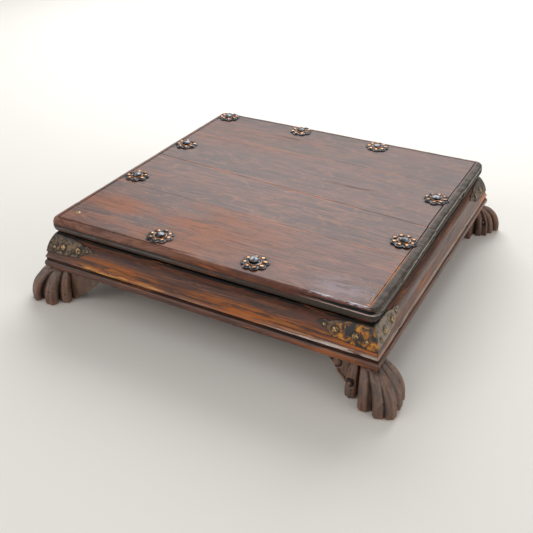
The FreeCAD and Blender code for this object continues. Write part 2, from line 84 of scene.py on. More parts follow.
# %% [markdown]
# The camera comes early, because every later choice is judged through it.
# It looks down at the front right corner from about a metre away, through a lens of normal length.
# A direction is easiest to set as two angles, one round the table and one above the floor.
# The camera is then moved back from the point that it looks at.

# %% Camera
camera_turn = math.radians(28.09)
camera_rise = math.radians(31.67)
camera_distance = 1.0288
camera_target = Vector((0.0351, -0.1126, 0.0616))
camera_lens = 52.15
sensor_width = 36.0

camera_data = bpy.data.cameras.new("camera")
camera_data.lens = camera_lens
camera_data.sensor_width = sensor_width
camera = bpy.data.objects.new("camera", camera_data)
scene.collection.objects.link(camera)
camera_side = math.cos(camera_rise)
camera_back = Vector(
    (
        math.sin(camera_turn) * camera_side,
        -math.cos(camera_turn) * camera_side,
        math.sin(camera_rise),
    )
)
camera.location = camera_target + camera_back * camera_distance
camera.rotation_mode = "QUATERNION"
camera.rotation_quaternion = (-camera_back).to_track_quat("-Z", "Y")
scene.camera = camera
print("camera at", [round(value, 3) for value in camera.location])

# %% [markdown]
# Shader maths reads best as plain sums, so one small class wraps an output of a node.
# Adding, multiplying or comparing wrapped outputs adds the Math nodes that do it.
# A second class holds a node tree, of a material or of Geometry Nodes. Every node comes from its one method,
# which sets a node's choices first and then fills or links its sockets.


# %% A wrapped output
class Output:
    """One output of a node. An expression on it adds the nodes that work it out."""

    def __init__(self, nodes, socket):
        self.nodes = nodes
        self.socket = socket

    def maths(self, operation, first, second=0.0):
        return self.nodes.node("ShaderNodeMath", {"operation": operation}, {0: first, 1: second})

    def __add__(self, other):
        return self.maths("ADD", self, other)

    def __sub__(self, other):
        return self.maths("SUBTRACT", self, other)

    def __rsub__(self, other):
        return self.maths("SUBTRACT", other, self)

    def __mul__(self, other):
        return self.maths("MULTIPLY", self, other)

    def __abs__(self):
        return self.maths("ABSOLUTE", self)

    def least(self, other):
        return self.maths("MINIMUM", self, other)

    def most(self, other):
        return self.maths("MAXIMUM", self, other)

    def rise(self, start, end):
        """A smooth step: 0 before start, 1 after end."""
        settings = {"interpolation_type": "SMOOTHSTEP"}
        sockets = {"Value": self, "From Min": start, "From Max": end}
        return self.nodes.node("ShaderNodeMapRange", settings, sockets)

    def between(self, start, full, fade, end):
        """A mask that grows from start to full and goes again from fade to end."""
        return self.rise(start, full) * self.rise(end, fade)

    __radd__ = __add__
    __rmul__ = __mul__


# %% A node tree
class Nodes:
    """A tree of nodes that is being made."""

    def __init__(self, tree):
        self.tree = tree

    def feed(self, socket, value):
        """Gives a socket a link, or a value of its own."""
        if isinstance(value, Output):
            self.tree.links.new(value.socket, socket)
        else:
            socket.default_value = value

    def node(self, kind, settings, sockets, output=0):
        """Adds a node. Its settings come first, and then its sockets, by name or number."""
        made = self.tree.nodes.new(kind)
        for name, value in settings.items():
            setattr(made, name, value)
        for name, value in sockets.items():
            self.feed(made.inputs[name], value)
        return Output(self, made.outputs[output])

    def axes(self, vector):
        """The three numbers of a vector."""
        first = self.node("ShaderNodeSeparateXYZ", {}, {0: vector})
        return [Output(self, socket) for socket in first.socket.node.outputs]

    def noise(self, vector, scale=1.0, detail=3.0, roughness=0.5, distortion=0.0):
        sockets = {
            "Vector": vector,
            "Scale": scale,
            "Detail": detail,
            "Roughness": roughness,
            "Distortion": distortion,
        }
        return self.node("ShaderNodeTexNoise", {}, sockets)

    def vector_maths(self, operation, first, second):
        return self.node("ShaderNodeVectorMath", {"operation": operation}, {0: first, 1: second})


# %% A material
class Finish(Nodes):
    """A material made from nodes, with helpers for what this table needs."""

    def __init__(self, name, roughness, metallic=0.0):
        self.material = bpy.data.materials.new(name)
        self.material.use_nodes = True
        super().__init__(self.material.node_tree)
        self.shader = self.tree.nodes["Principled BSDF"]
        self.shader.inputs["Roughness"].default_value = roughness
        self.shader.inputs["Metallic"].default_value = metallic

    def place(self):
        """Where a point lies on the table, in metres."""
        return self.node("ShaderNodeTexCoord", {}, {}, "Object")

    def long_noise(self, place, scale, detail, roughness, distortion=0.0, shift=(0.0, 0.0, 0.0)):
        """Noise with a scale for each axis. It is long where the scale is small."""
        stretched = self.node("ShaderNodeMapping", {}, {"Vector": place, "Scale": scale, "Location": shift})
        return self.noise(stretched, 1.0, detail, roughness, distortion)

    def attribute(self, name, output="Fac"):
        """A value that the piece's own mesh holds."""
        return self.node("ShaderNodeAttribute", {"attribute_name": name}, {}, output)

    def mix(self, first, second, share):
        """A colour between two colours."""
        return self.node("ShaderNodeMix", {"data_type": "RGBA"}, {0: share, 6: first, 7: second}, 2)

    def coats(self, colour, *layers):
        """Colours laid over a first one. Each comes with the mask that says where it shows."""
        for layer, mask in layers:
            colour = self.mix(colour, layer, mask)
        return colour

    def near(self, place, centre, size):
        """A mask that is 1 at a centre and fades to 0 at a distance along each axis."""
        share = self.vector_maths("DIVIDE", self.vector_maths("SUBTRACT", place, centre), size)
        return self.node("ShaderNodeVectorMath", {"operation": "LENGTH"}, {0: share}, "Value").rise(1.0, 0.0)

    def bump(self, height, distance, strength=1.0):
        """A normal that a height has tilted. The distance is in metres."""
        sockets = {"Height": height, "Distance": distance, "Strength": strength}
        return self.node("ShaderNodeBump", {}, sockets)

    def surface(self, **values):
        """Feeds the shader's own sockets. An underscore in a name stands for a space."""
        for name, value in values.items():
            self.feed(self.shader.inputs[name.replace("_", " ")], value)

    def on(self, *pieces):
        """Puts the material on pieces, in place of any other."""
        for piece in pieces:
            piece.data.materials.clear()
            piece.data.materials.append(self.material)


def paint(red, green, blue):
    """A colour for a shader, from its usual values of 0 to 255."""
    shares = [value / 255 for value in (red, green, blue)]
    light = [share / 12.92 if share <= 0.04045 else ((share + 0.055) / 1.055) ** 2.4 for share in shares]
    return (*light, 1.0)


# %% [markdown]
# The table stands on a plain pale floor that curves up into a backdrop, so no line cuts through the picture.
# The floor is one sheet that is swept through a quarter circle. It keeps the table's shadow.


# %% Floor and backdrop
def stage_sheet():
    """A floor that turns up behind the table."""
    floor_reach = 3.0
    bend_radius = 1.2
    wall_height = 2.4
    bend_start = 1.6
    angles = np.linspace(0, math.pi / 2, 17)
    path = [(-floor_reach, 0.0)]
    path += [(bend_start + bend_radius * math.sin(a), bend_radius * (1 - math.cos(a))) for a in angles]
    path += [(bend_start + bend_radius, bend_radius + wall_height)]
    points = [(side * 2 * floor_reach, y, z) for y, z in path for side in (-1, 1)]
    faces = [(2 * k, 2 * k + 1, 2 * k + 3, 2 * k + 2) for k in range(len(path) - 1)]
    mesh = bpy.data.meshes.new("floor")
    mesh.from_pydata(points, [], faces)
    mesh.shade_smooth()
    sheet = bpy.data.objects.new("floor", mesh)
    scene.collection.objects.link(sheet)
    return sheet


floor = stage_sheet()
pale = Finish("pale_floor", roughness=0.75)
pale.surface(Base_Color=paint(236, 231, 224))
pale.on(floor)

# %% [markdown]
# Soft light comes from behind and above, as from a window, and a weaker light fills the front.
# The large panel behind also shows as a pale sheen in the polish of the top.
# The world gives the rest, and it shows white to the camera and in reflections.


# %% Lights and world
def panel(name, place, target, size, power, colour):
    """A soft rectangular lamp that points at a target."""
    data = bpy.data.lights.new(name, "AREA")
    data.shape = "RECTANGLE"
    data.size = size[0]
    data.size_y = size[1]
    data.energy = power
    data.color = colour
    lamp = bpy.data.objects.new(name, data)
    lamp.location = place
    heading = Vector(target) - Vector(place)
    lamp.rotation_mode = "QUATERNION"
    lamp.rotation_quaternion = heading.to_track_quat("-Z", "Y")
    scene.collection.objects.link(lamp)
    return lamp


panel("window", (-0.5, 1.5, 1.35), (0, 0, 0.1), (2.0, 1.2), 40.0, (0.95, 0.98, 1.0))
panel("front_fill", (-0.9, -1.9, 1.5), (0, -0.1, 0.05), (1.6, 1.2), 11.0, (1.0, 0.97, 0.93))
panel("side_fill", (2.0, -0.2, 0.9), (0, 0, 0.08), (1.4, 1.0), 9.0, (1.0, 0.98, 0.96))


def light_world():
    world = bpy.data.worlds.new("studio")
    scene.world = world
    world.use_nodes = True
    nodes = world.node_tree.nodes
    links = world.node_tree.links
    rays = nodes.new("ShaderNodeLightPath")
    seen = nodes.new("ShaderNodeMath")
    seen.operation = "MAXIMUM"
    links.new(rays.outputs["Is Camera Ray"], seen.inputs[0])
    links.new(rays.outputs["Is Glossy Ray"], seen.inputs[1])
    strength = nodes.new("ShaderNodeMapRange")
    strength.inputs["To Min"].default_value = 0.42
    strength.inputs["To Max"].default_value = 1.0
    links.new(seen.outputs[0], strength.inputs["Value"])
    background = nodes["Background"]
    background.inputs["Color"].default_value = (0.96, 0.98, 1.0, 1.0)
    links.new(strength.outputs[0], background.inputs["Strength"])


light_world()
scene.view_settings.view_transform = "Standard"

# %% [markdown]
# Wear is never even. A smooth random field says how much a surface has lost at each point.
# It blends random values from a fixed lattice, so that it is the same on every run,
# and its lumps can be long in one direction, as wear along a rail is.

# %% A smooth random field
lattice_size = 32
lattice = np.random.default_rng(11).uniform(-1, 1, (lattice_size,) * 3)
seed_step = 7.31


def lumps(points, size, seed=0):
    """Smooth values from -1 to 1. The size of the lumps is one number, or one for each axis."""
    places = np.asarray(points, float) / np.asarray(size, float) + seed * seed_step
    cell = np.floor(places).astype(int)
    share = places - cell
    share = share * share * (3 - 2 * share)
    total = np.zeros(len(places))
    for corner in np.ndindex(2, 2, 2):
        index = (cell + corner) % lattice_size
        weight = np.where(corner, share, 1 - share).prod(axis=1)
        total += weight * lattice[tuple(index.T)]
    return total


def ease(value, start, end):
    """A smooth step from 0 at start to 1 at end."""
    share = np.clip((np.asarray(value, float) - start) / (end - start), 0, 1)
    return share * share * (3 - 2 * share)


# %% [markdown]
# Every new piece is made the same way: points and faces become a mesh, and the piece is tied to the table.
# It stands for the pieces of the construction that it dresses, which are then hidden.
# Edges sharper than a set angle stay crisp, and the rest are shaded smooth.


# %% Making a piece
def new_piece(name, points, faces, stands_for, crease=45):
    """A piece from points in millimetres."""
    mesh = bpy.data.meshes.new(name)
    mesh.from_pydata((np.asarray(points) * mm).tolist(), [], [tuple(int(i) for i in face) for face in faces])
    return dress(name, mesh, stands_for, crease)


def dress(name, mesh, stands_for, crease=45):
    """A piece from a finished mesh."""
    mesh.name = name
    mesh.shade_smooth()
    mesh.set_sharp_from_angle(angle=math.radians(crease))
    piece = bpy.data.objects.new(name, mesh)
    scene.collection.objects.link(piece)
    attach(piece, "root")
    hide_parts(*stands_for)
    return piece


def mark(mesh, name, values):
    """Stores a number or a vector on every point of a mesh."""
    values = np.asarray(values, np.float32)
    kind, key = ("FLOAT_VECTOR", "vector") if values.ndim == 2 else ("FLOAT", "value")
    mesh.attributes.new(name, kind, "POINT").data.foreach_set(key, values.ravel())


def grid_faces(rows, columns, start=0, flip=False):
    """The faces of a sheet of points, numbered row by row."""
    faces = []
    for row in range(rows - 1):
        for column in range(columns - 1):
            low = start + row * columns + column
            face = (low, low + 1, low + columns + 1, low + columns)
            faces.append(face[::-1] if flip else face)
    return faces


# %% [markdown]
# The top is four boards. On the real one the edge is planed to a nose, and a fine groove runs beside it.
# A bevel on a box gives neither the groove nor wear, so each board is a sheet of points over its plan.
# The lines of points crowd together over the nose, in the groove and along the joints,
# and a height is worked out for each point.
# The joints aren't quite square to the sides, because the boards were cut from tapering stock.

# %% Sizes of the top
nose_top_radius = 9.4
sharp_nose_radius = 3.4
sharp_nose_wear = 0.4
nose_bottom_radius = 8.0
plan_radius = 12.0
nose_steps = 8
groove_inset = 11.0
front_groove_inset = 6.6
groove_width = 1.3
groove_depth = 1.3
groove_shares = np.array([-0.5, -0.15, 0.2, 0.5, 0.8, 1.15, 1.5])
line_spacing = 2.6
arris_offsets = np.array([0.0, 0.15, 0.35, 0.6, 1.3])
arris_radius = 0.6
board_names = ("front", "middle_front", "middle_back", "back")
# How far each board lies below the highest one, and how far its right end is set back
board_drops = {"front": 0.0, "middle_front": 0.25, "middle_back": 0.1, "back": 0.3}
board_setbacks = {"front": 0.0, "middle_front": 0.2, "middle_back": 1.5, "back": 0.6}
setback_length = 30.0


def edge_lines(half, inset=groove_inset):
    """Lines from the groove out to the edge, close together where the surface turns."""
    angles = np.linspace(0, math.pi / 2, nose_steps + 1)
    nose = half - nose_top_radius * (1 - np.sin(angles))
    groove = half - inset - groove_width * groove_shares
    clear = (nose < groove.min() - groove_width / 4) | (nose > groove.max() + groove_width / 4)
    return np.sort(np.concatenate([groove, nose[clear]]))


def filled(low, high, spacing=line_spacing):
    """Lines between two others, leaving both out."""
    count = max(2, int(round((high - low) / spacing)) + 1)
    return np.linspace(low, high, count)[1:-1]


def joint_lines():
    """Where each joint lies at the left and right ends of the top."""
    joints = []
    for front_name, back_name in zip(board_names, board_names[1:]):
        left = corners_of("top_board_" + front_name)[1].y
        right = corners_of("top_board_" + back_name)[0].y
        joints.append((left, right))
    return joints


joints = joint_lines()
print("joints, left and right:", [(round(a, 1), round(b, 1)) for a, b in joints])


# %% The plan of a board
def board_ends(number):
    """The front and back lines of a board in the middle of the table."""
    front = -top_half_depth if number == 0 else sum(joints[number - 1]) / 2
    back = top_half_depth if number == len(joints) else sum(joints[number]) / 2
    return front, back


def board_rows(number):
    """The rows of points of one board, as they lie in the middle of the table."""
    front, back = board_ends(number)
    edge = edge_lines(top_half_depth)
    front_edge = edge_lines(top_half_depth, front_groove_inset)
    front_rows = -front_edge[::-1] if number == 0 else front + arris_offsets
    back_rows = edge if number == len(joints) else back - arris_offsets[::-1]
    crack_rows = [y + offset for y in crack_lines if front < y < back for offset in crack_offsets]
    between = filled(front_rows[-1], back_rows[0])
    if crack_rows:
        room = 0.6 * line_spacing
        between = between[(between < min(crack_rows) - room) | (between > max(crack_rows) + room)]
    return np.sort(np.concatenate([front_rows, between, crack_rows, back_rows]))


def slanted(x, row, number):
    """Carries a row towards the slant of the joint that is nearer to it."""
    front, back = board_ends(number)
    middle = (front + back) / 2
    share = (x + top_half_width) / (2 * top_half_width)
    moved = np.zeros_like(x)
    if number > 0:
        left, right = joints[number - 1]
        moved += (left + (right - left) * share - front) * ease(-row, -middle, -front)
    if number < len(joints):
        left, right = joints[number]
        moved += (left + (right - left) * share - back) * ease(row, middle, back)
    return row + moved


def rounded_plan(x, y):
    """Bends the square corners of the plan round. Gives also the way outwards, and how near the edge is."""
    inner_x = top_half_width - plan_radius
    inner_y = top_half_depth - plan_radius
    a = np.clip((np.abs(x) - inner_x) / plan_radius, 0, 1)
    b = np.clip((np.abs(y) - inner_y) / plan_radius, 0, 1)
    bent_a = a * np.sqrt(1 - b * b / 2)
    bent_b = b * np.sqrt(1 - a * a / 2)
    x = np.where(a > 0, np.sign(x) * (inner_x + plan_radius * bent_a), x)
    y = np.where(b > 0, np.sign(y) * (inner_y + plan_radius * bent_b), y)
    reach = np.hypot(bent_a, bent_b)
    away = np.stack([np.sign(x) * bent_a, np.sign(y) * bent_b], axis=1) / np.maximum(reach, 1e-9)[:, None]
    return x, y, away, plan_radius * (1 - reach)


# %% [markdown]
# The height of the upper sheet starts from the ideal shape: flat, then a groove, then a quarter circle.
# What years have done is taken off that: long hollows, knocks on the nose and cracks along the grain.
# Wear only takes wood away, so the piece stays inside the shape that was built.

# %% Cracks
crack_offsets = (-1.4, -0.7, -0.3, 0.0, 0.3, 0.7, 1.4)
# Middle and half length along the grain, half width and depth of each crack, by the line that it follows
cracks = {
    -168.0: (22.0, 26.0, 0.35, 0.35),
    46.0: (96.0, 62.0, 0.45, 0.6),
    168.0: (-70.0, 38.0, 0.45, 0.5),
}
crack_lines = sorted(cracks)


def crack_depth(x, y):
    """How deep the cracks are at each point."""
    depth = np.zeros_like(x)
    for line, (middle, half_length, half_crack, deepest) in cracks.items():
        wander = 0.35 * np.sin(x / 9.0)
        across = np.clip(1 - np.abs(y - line - wander) / (2 * half_crack), 0, 1)
        along = np.sqrt(np.clip(1 - ((x - middle) / half_length) ** 2, 0, 1))
        depth = np.maximum(depth, deepest * across * along)
    return depth


# %% The nose and the groove
sharp_band = (26.0, 12.0)
sharp_front_start = -70.0
sharp_front_end = 10.0
sharp_right_start = 30.0
groove_end = 20.0


def nose_radius(x, y):
    """The nose is round at the left and the back, and nearly square at the right and the front right."""
    outer, inner = sharp_band
    at_front = ease(x, sharp_front_start, sharp_front_end)
    at_front = at_front * ease(-y, top_half_depth - outer, top_half_depth - inner)
    at_right = ease(x, top_half_width - outer, top_half_width - inner)
    at_right = at_right * ease(-y, -top_half_depth, sharp_right_start - top_half_depth)
    return nose_top_radius + (sharp_nose_radius - nose_top_radius) * np.maximum(at_front, at_right)


def from_groove(x, y):
    """How far a point lies inside the groove's outer line, from the side and from the front or back."""
    across = top_half_width - np.abs(x) - groove_inset
    deep = top_half_depth - np.abs(y) - np.where(y < 0, front_groove_inset, groove_inset)
    return across, deep


def worn_away(x, y):
    """How much of the groove has gone: its front part is only left at the left."""
    across, deep = from_groove(x, y)
    return ease(x, sharp_front_start, groove_end) * (y < 0) * (deep < across)


def nose_drop(edge, radius):
    """How far a round nose falls away near its edge, and how steep it is there."""
    inner = np.clip(radius - edge, 0, radius)
    return radius - np.sqrt(radius**2 - inner**2), inner / radius


def nose_wear(points):
    """What the nose has lost: a long unevenness, small hollows and a few knocks."""
    long_part = 0.3 + 0.3 * lumps(points, 34.0, 1)
    short_part = 0.22 * np.clip(lumps(points, 8.0, 2), 0, 1)
    knocks = 1.0 * ease(lumps(points, 10.0, 3), 0.55, 0.85)
    return long_part + short_part + knocks


# %% The sheets of a board
def board_sheets(number):
    """The upper and lower sheets of a board, as rows of points."""
    name = board_names[number]
    edge = edge_lines(top_half_width)
    columns = np.concatenate([-edge[::-1], filled(-edge[0], edge[0]), edge])
    rows = board_rows(number)
    x, row = (part.ravel() for part in np.meshgrid(columns, rows))
    y = slanted(x, row, number)
    x, y, away, edge = rounded_plan(x, y)
    drop, steep = nose_drop(edge, nose_radius(x, y))
    in_groove = np.clip(np.minimum(*from_groove(x, y)) / groove_width, 0, 1)
    groove = groove_depth * (1 - np.abs(2 * in_groove - 1) ** 3) * (1 - worn_away(x, y))
    flat = np.stack([x, y, np.full_like(x, board_top)], axis=1)
    long_hollow = 0.16 * (1 + lumps(flat, (150.0, 48.0, 60.0), 4))
    short_hollow = 0.05 * (1 + lumps(flat, (40.0, 9.0, 20.0), 5))
    lost = long_hollow + short_hollow + groove + joint_arris(row, number)
    lost = lost + crack_depth(x, y) + board_drops[name] * (1 - steep)
    upper = np.stack([x, y, board_top - drop - lost * (1 - steep)], axis=1)
    worn = nose_wear(upper) * ease(edge, nose_top_radius + 1.5, nose_top_radius * 0.5)
    roundness = ease(nose_radius(x, y), sharp_nose_radius, nose_top_radius)
    worn *= sharp_nose_wear + (1 - sharp_nose_wear) * roundness
    upper[:, :2] -= away * (worn * steep)[:, None]
    upper[:, 2] -= worn * np.sqrt(1 - steep**2)
    low_drop, low_steep = nose_drop(edge, nose_bottom_radius)
    lower = np.stack([x, y, board_bottom + low_drop], axis=1)
    low_worn = nose_wear(lower) * ease(edge, nose_bottom_radius, 0.0)
    lower[:, :2] -= away * (low_worn * low_steep)[:, None]
    setback = board_setbacks[name] * ease(x, top_half_width - setback_length, top_half_width)
    upper[:, 0] -= setback
    lower[:, 0] -= setback
    return upper, lower, away * (edge < 0.01)[:, None], len(rows), len(columns)


def joint_arris(row, number):
    """The small rounding of a board along its joints."""
    front, back = board_ends(number)
    to_joint = np.full_like(row, arris_radius)
    if number > 0:
        to_joint = np.minimum(to_joint, row - front)
    if number < len(joints):
        to_joint = np.minimum(to_joint, back - row)
    inner = 1 - np.clip(to_joint / arris_radius, 0, 1)
    return 0.7 * arris_radius * (1 - np.sqrt(1 - inner**2))


# %% Closing two sheets
def outline_of(rows, columns):
    """The numbers of the points round a sheet."""
    front = list(range(columns))
    right = [row * columns + columns - 1 for row in range(1, rows)]
    back = [(rows - 1) * columns + column for column in range(columns - 2, -1, -1)]
    left = [row * columns for row in range(rows - 2, 0, -1)]
    return front + right + back + left


def wall_between(low, high):
    """The faces between two rings of points."""
    return [(a, b, d, c) for a, b, c, d in zip(low, low[1:] + low[:1], high, high[1:] + high[:1])]


def closed_sheet(rows, columns, rings=0):
    """The faces of two sheets, one above the other, and of the wall round them, through rings of points."""
    count = rows * columns
    around = outline_of(rows, columns)
    loops = [around]
    for ring in range(rings):
        start = 2 * count + ring * len(around)
        loops.append(list(range(start, start + len(around))))
    loops.append([point + count for point in around])
    faces = grid_faces(rows, columns) + grid_faces(rows, columns, start=count, flip=True)
    for high, low in zip(loops, loops[1:]):
        faces += wall_between(low, high)
    return faces


# %% [markdown]
# The side of the nose has a fine line half way down, and at the front right the wood has split along it.
# A sheet with one height for each place can't hold these, so the wall between the sheets
# gets rings of its own.

# %% The side of the nose
# How far down the rings lie, as shares of the way. They are closest round the split
upper_shares = [0.05, 0.1, 0.14, 0.18, 0.22, 0.27, 0.32, 0.36, 0.41, 0.47, 0.53]
wall_shares = np.array([*upper_shares, 0.6, 0.65, 0.7, 0.74, 0.78, 0.84, 0.92])
line_height = 10.9
line_depth = 0.8
line_width = 0.5
split_share = 0.27
split_depth = 2.8
split_start = 118.0
split_full = 196.0
lip_share = 0.57


def bell(value, width):
    """A smooth bump: 1 at 0, and nearly gone at twice its width."""
    return np.exp(-((value / width) ** 2))


def split_opening(points, away):
    """How far the split has opened at each point: it starts on the front and is widest at the right."""
    return ease(points[:, 0], split_start, split_full) * ease(-away[:, 1], 0.6, 0.9)


def wall_rings(upper, lower, away):
    """Rings of points down the side of a board, with painted shade in the split and the line, and a painted
    highlight on the lip.
    """
    rings = []
    dirt_and_shade = []
    rubbed_and_highlit = []
    for share in wall_shares:
        ring = upper * (1 - share) + lower * share
        opening = split_opening(ring, away)
        centre = split_share + 0.025 * np.sin(ring[:, 0] / 9.0) + 0.012 * np.sin(ring[:, 0] / 2.9)
        split = opening * bell(share - centre, 0.05 + 0.1 * opening)
        line = bell(ring[:, 2] - board_bottom - line_height, line_width)
        line = line * (0.7 + 0.3 * lumps(ring, 14.0, 8))
        ring[:, :2] -= away * (split_depth * split + line_depth * line)[:, None]
        rings.append(ring)
        # Painted shade: the split and the fine line are made black.
        dirt_and_shade.append(np.hypot(away[:, 0], away[:, 1]) * np.maximum(3.2 * split, 0.9 * line))
        # Painted highlight: the lip below the split is made pale.
        rubbed_and_highlit.append(opening * bell(share - lip_share, 0.08))
    return rings, dirt_and_shade, rubbed_and_highlit


# %% The boards
boards = []
wall_shade = []
wall_highlight = []
for number, name in enumerate(board_names):
    upper, lower, away, rows, columns = board_sheets(number)
    ring = outline_of(rows, columns)
    rings, dirt_and_shade, rubbed_and_highlit = wall_rings(upper[ring], lower[ring], away[ring])
    points = np.concatenate([upper, lower, *rings])
    faces = closed_sheet(rows, columns, len(rings))
    boards.append(new_piece("board_" + name, points, faces, ["top_board_" + name]))
    clean = np.zeros(2 * rows * columns)
    wall_shade.append(np.concatenate([clean, *dirt_and_shade]))
    wall_highlight.append(np.concatenate([clean, *rubbed_and_highlit]))
    print(boards[-1].name, len(faces), "faces")

# %% [markdown]
# Each rail of the apron is a moulding, mitred at the corners: a bead, a thin fillet, a flared crest
# and a swelling band. A moulding is one section swept along a line.
# The section here is a list of runs and arcs, as insets from the lip and heights above its underside.
# The sweep is written out, not left to a curve's bevel, because the wear and the mitres need
# every ring of points. The rings lie closer at the ends, where the mitres are.

# %% Section of the rails
rail_width = 52.0
shelf_inset = 29.0
bead_arc = ((1.2, 0.0), (0.0, 4.4), (1.8, 8.6))
step_runs = (
    ((1.8, 8.6), (3.6, 9.4), 2),
    ((3.6, 9.4), (2.6, 10.2), 2),
    ((2.6, 10.2), (2.6, 11.8), 2),
    ((2.6, 11.8), (4.6, 12.6), 2),
    ((4.6, 12.6), (1.8, 13.6), 3),
    ((1.8, 13.6), (1.6, 14.6), 2),
)
flare_arc = ((1.6, 14.6), (3.5, 17.6), (4.6, 21.2))
band_arc = ((4.6, 21.2), (9.0, 36.0), (16.5, 48.5))
shelf_runs = (
    ((16.5, 48.5), (shelf_inset, 48.5), 3),
    ((shelf_inset, 48.5), (shelf_inset, 51.5), 2),
    ((shelf_inset, 51.5), (rail_width, 51.5), 3),
    ((rail_width, 51.5), (rail_width, 0.0), 3),
    ((rail_width, 0.0), (1.2, 0.0), 6),
)
bead_steps = 9
flare_steps = 6
band_steps = 18


def circle_through(start, middle, end):
    """The centre and radius of the circle through three points."""
    a, b, c = (complex(*point) for point in (start, middle, end))
    turn = (c - a) / (b - a)
    centre = (b - a) * (turn - abs(turn) ** 2) / (2j * turn.imag) + a
    return (centre.real, centre.imag), abs(a - centre)


def arc_points(start, middle, end, steps):
    """Points along the arc through three points, leaving out the last."""
    (cx, cy), radius = circle_through(start, middle, end)
    first = math.atan2(start[1] - cy, start[0] - cx)
    last = math.atan2(end[1] - cy, end[0] - cx)
    if abs(last - first) > math.pi:
        last += math.copysign(2 * math.pi, first - last)
    angles = np.linspace(first, last, steps + 1)[:-1]
    return [(cx + radius * math.cos(a), cy + radius * math.sin(a)) for a in angles]


def run_points(runs):
    """Points along straight runs, leaving out the last of each."""
    points = []
    for start, end, steps in runs:
        for share in np.linspace(0, 1, steps + 1)[:-1]:
            points.append(tuple(np.array(start) * (1 - share) + np.array(end) * share))
    return points


section = arc_points(*bead_arc, bead_steps) + run_points(step_runs) + arc_points(*flare_arc, flare_steps)
section += arc_points(*band_arc, band_steps) + run_points(shelf_runs)
section = np.array(section)
print("section points:", len(section))

# %% Sweeping a rail
ring_spacing = 3.0
mitre_gap = 0.25
mitre_rounding = 1.1


def section_normals():
    """The way out of the section at each of its points."""
    before = section - np.roll(section, 1, axis=0)
    after = np.roll(section, -1, axis=0) - section
    along = before / np.linalg.norm(before, axis=1)[:, None] + after / np.linalg.norm(after, axis=1)[:, None]
    out = np.stack([-along[:, 1], along[:, 0]], axis=1)
    return out / np.linalg.norm(out, axis=1)[:, None]


def ring_places(half_length):
    """Places of the rings from one end to the other, as shares of half the length."""
    ends = half_length - np.array([0.0, 0.35, 0.9, 1.8])
    middle = np.linspace(-ends[-1], ends[-1], int(2 * half_length / ring_spacing))
    return np.concatenate([-ends, middle[1:-1], ends[::-1]]) / half_length


def rail_wear(along, inset, height, seed):
    """What a rail has lost: long hollows, and knocks on the bead and the crest."""
    place = np.stack([along, inset, height], axis=1)
    long_part = 0.22 + 0.22 * lumps(place, (42.0, 12.0, 9.0), seed)
    short_part = 0.2 * np.clip(lumps(place, (11.0, 6.0, 4.0), seed + 1), 0, 1)
    on_crest = ease(height, 12.8, 13.6) * ease(-height, -20.0, -15.0) + ease(-height, -8.0, -2.0)
    knocks = 0.9 * ease(lumps(place, (9.0, 6.0, 5.0), seed + 2), 0.5, 0.85) * on_crest
    return long_part + short_part + knocks


def tube_faces(count, around):
    """The faces of a closed tube of rings, with an end on the first and the last."""
    faces = []
    for ring in range(count - 1):
        for k in range(around):
            here = ring * around + k
            beside = ring * around + (k + 1) % around
            faces.append((here, beside, beside + around, here + around))
    faces.append(tuple(range(around))[::-1])
    faces.append(tuple(range((count - 1) * around, count * around)))
    return faces


# %% The rails
def make_rail(side, seed):
    """One rail. Its rings are made along X at the front, and turned for the other sides."""
    across_x = side in ("front", "back")
    half_length, half_across = (half_width, half_depth) if across_x else (half_depth, half_width)
    shares = ring_places(half_length)
    share, point = (part.ravel() for part in np.meshgrid(shares, np.arange(len(section)), indexing="ij"))
    inset, height = section[point].T
    out = section_normals()[point]
    outer = ease(-inset, -30.0, -20.0)
    from_end = half_length * (1 - np.abs(share))
    worn = rail_wear(share * half_length, inset, height, seed) * ease(from_end, 1.0, 12.0)
    worn += 0.5 * ease(-from_end, -mitre_rounding, 0.0)
    inset = inset - out[:, 0] * worn * outer
    height = height - out[:, 1] * worn * outer
    along = share * (half_length - inset - mitre_gap)
    across = half_across - inset
    z = apron_bottom + np.clip(height, 0, apron_top - apron_bottom)
    sign = -1 if side in ("front", "left") else 1
    flat = (along, sign * across) if across_x else (sign * across, along)
    points = np.stack([*flat, z], axis=1)
    faces = tube_faces(len(shares), len(section))
    if (sign < 0) == across_x:
        faces = [face[::-1] for face in faces]
    piece = new_piece("apron_" + side, points, faces, ["rail_" + side], crease=38)
    place = np.stack([along + seed * half_length, inset, height], axis=1) * mm
    mark(piece.data, "rail_place", place)
    return piece


rail_seeds = {"front": 0, "right": 10, "back": 20, "left": 30}
rails = {side: make_rail(side, seed) for side, seed in rail_seeds.items()}
print("rings in a rail:", len(ring_places(half_width)))

# %% [markdown]
# The feet are the carver's work: toes fan out from the corner, sweep down and land on the floor.
# Between them run deep grooves, and a bracket with a scrolled edge ties each foot to the rails.
# Such a form could be pushed out of one block by hand. Here each toe is swept along its curve
# with a carved section, and a voxel remesh melts toes, brackets and core into one skin,
# as if cut from one piece of wood. No two of these feet are quite alike,
# so there is a list of toes for the front ones, one for the plainer one and one for the back.

# %% Sizes of a foot
toe_axis_inset = 30.0
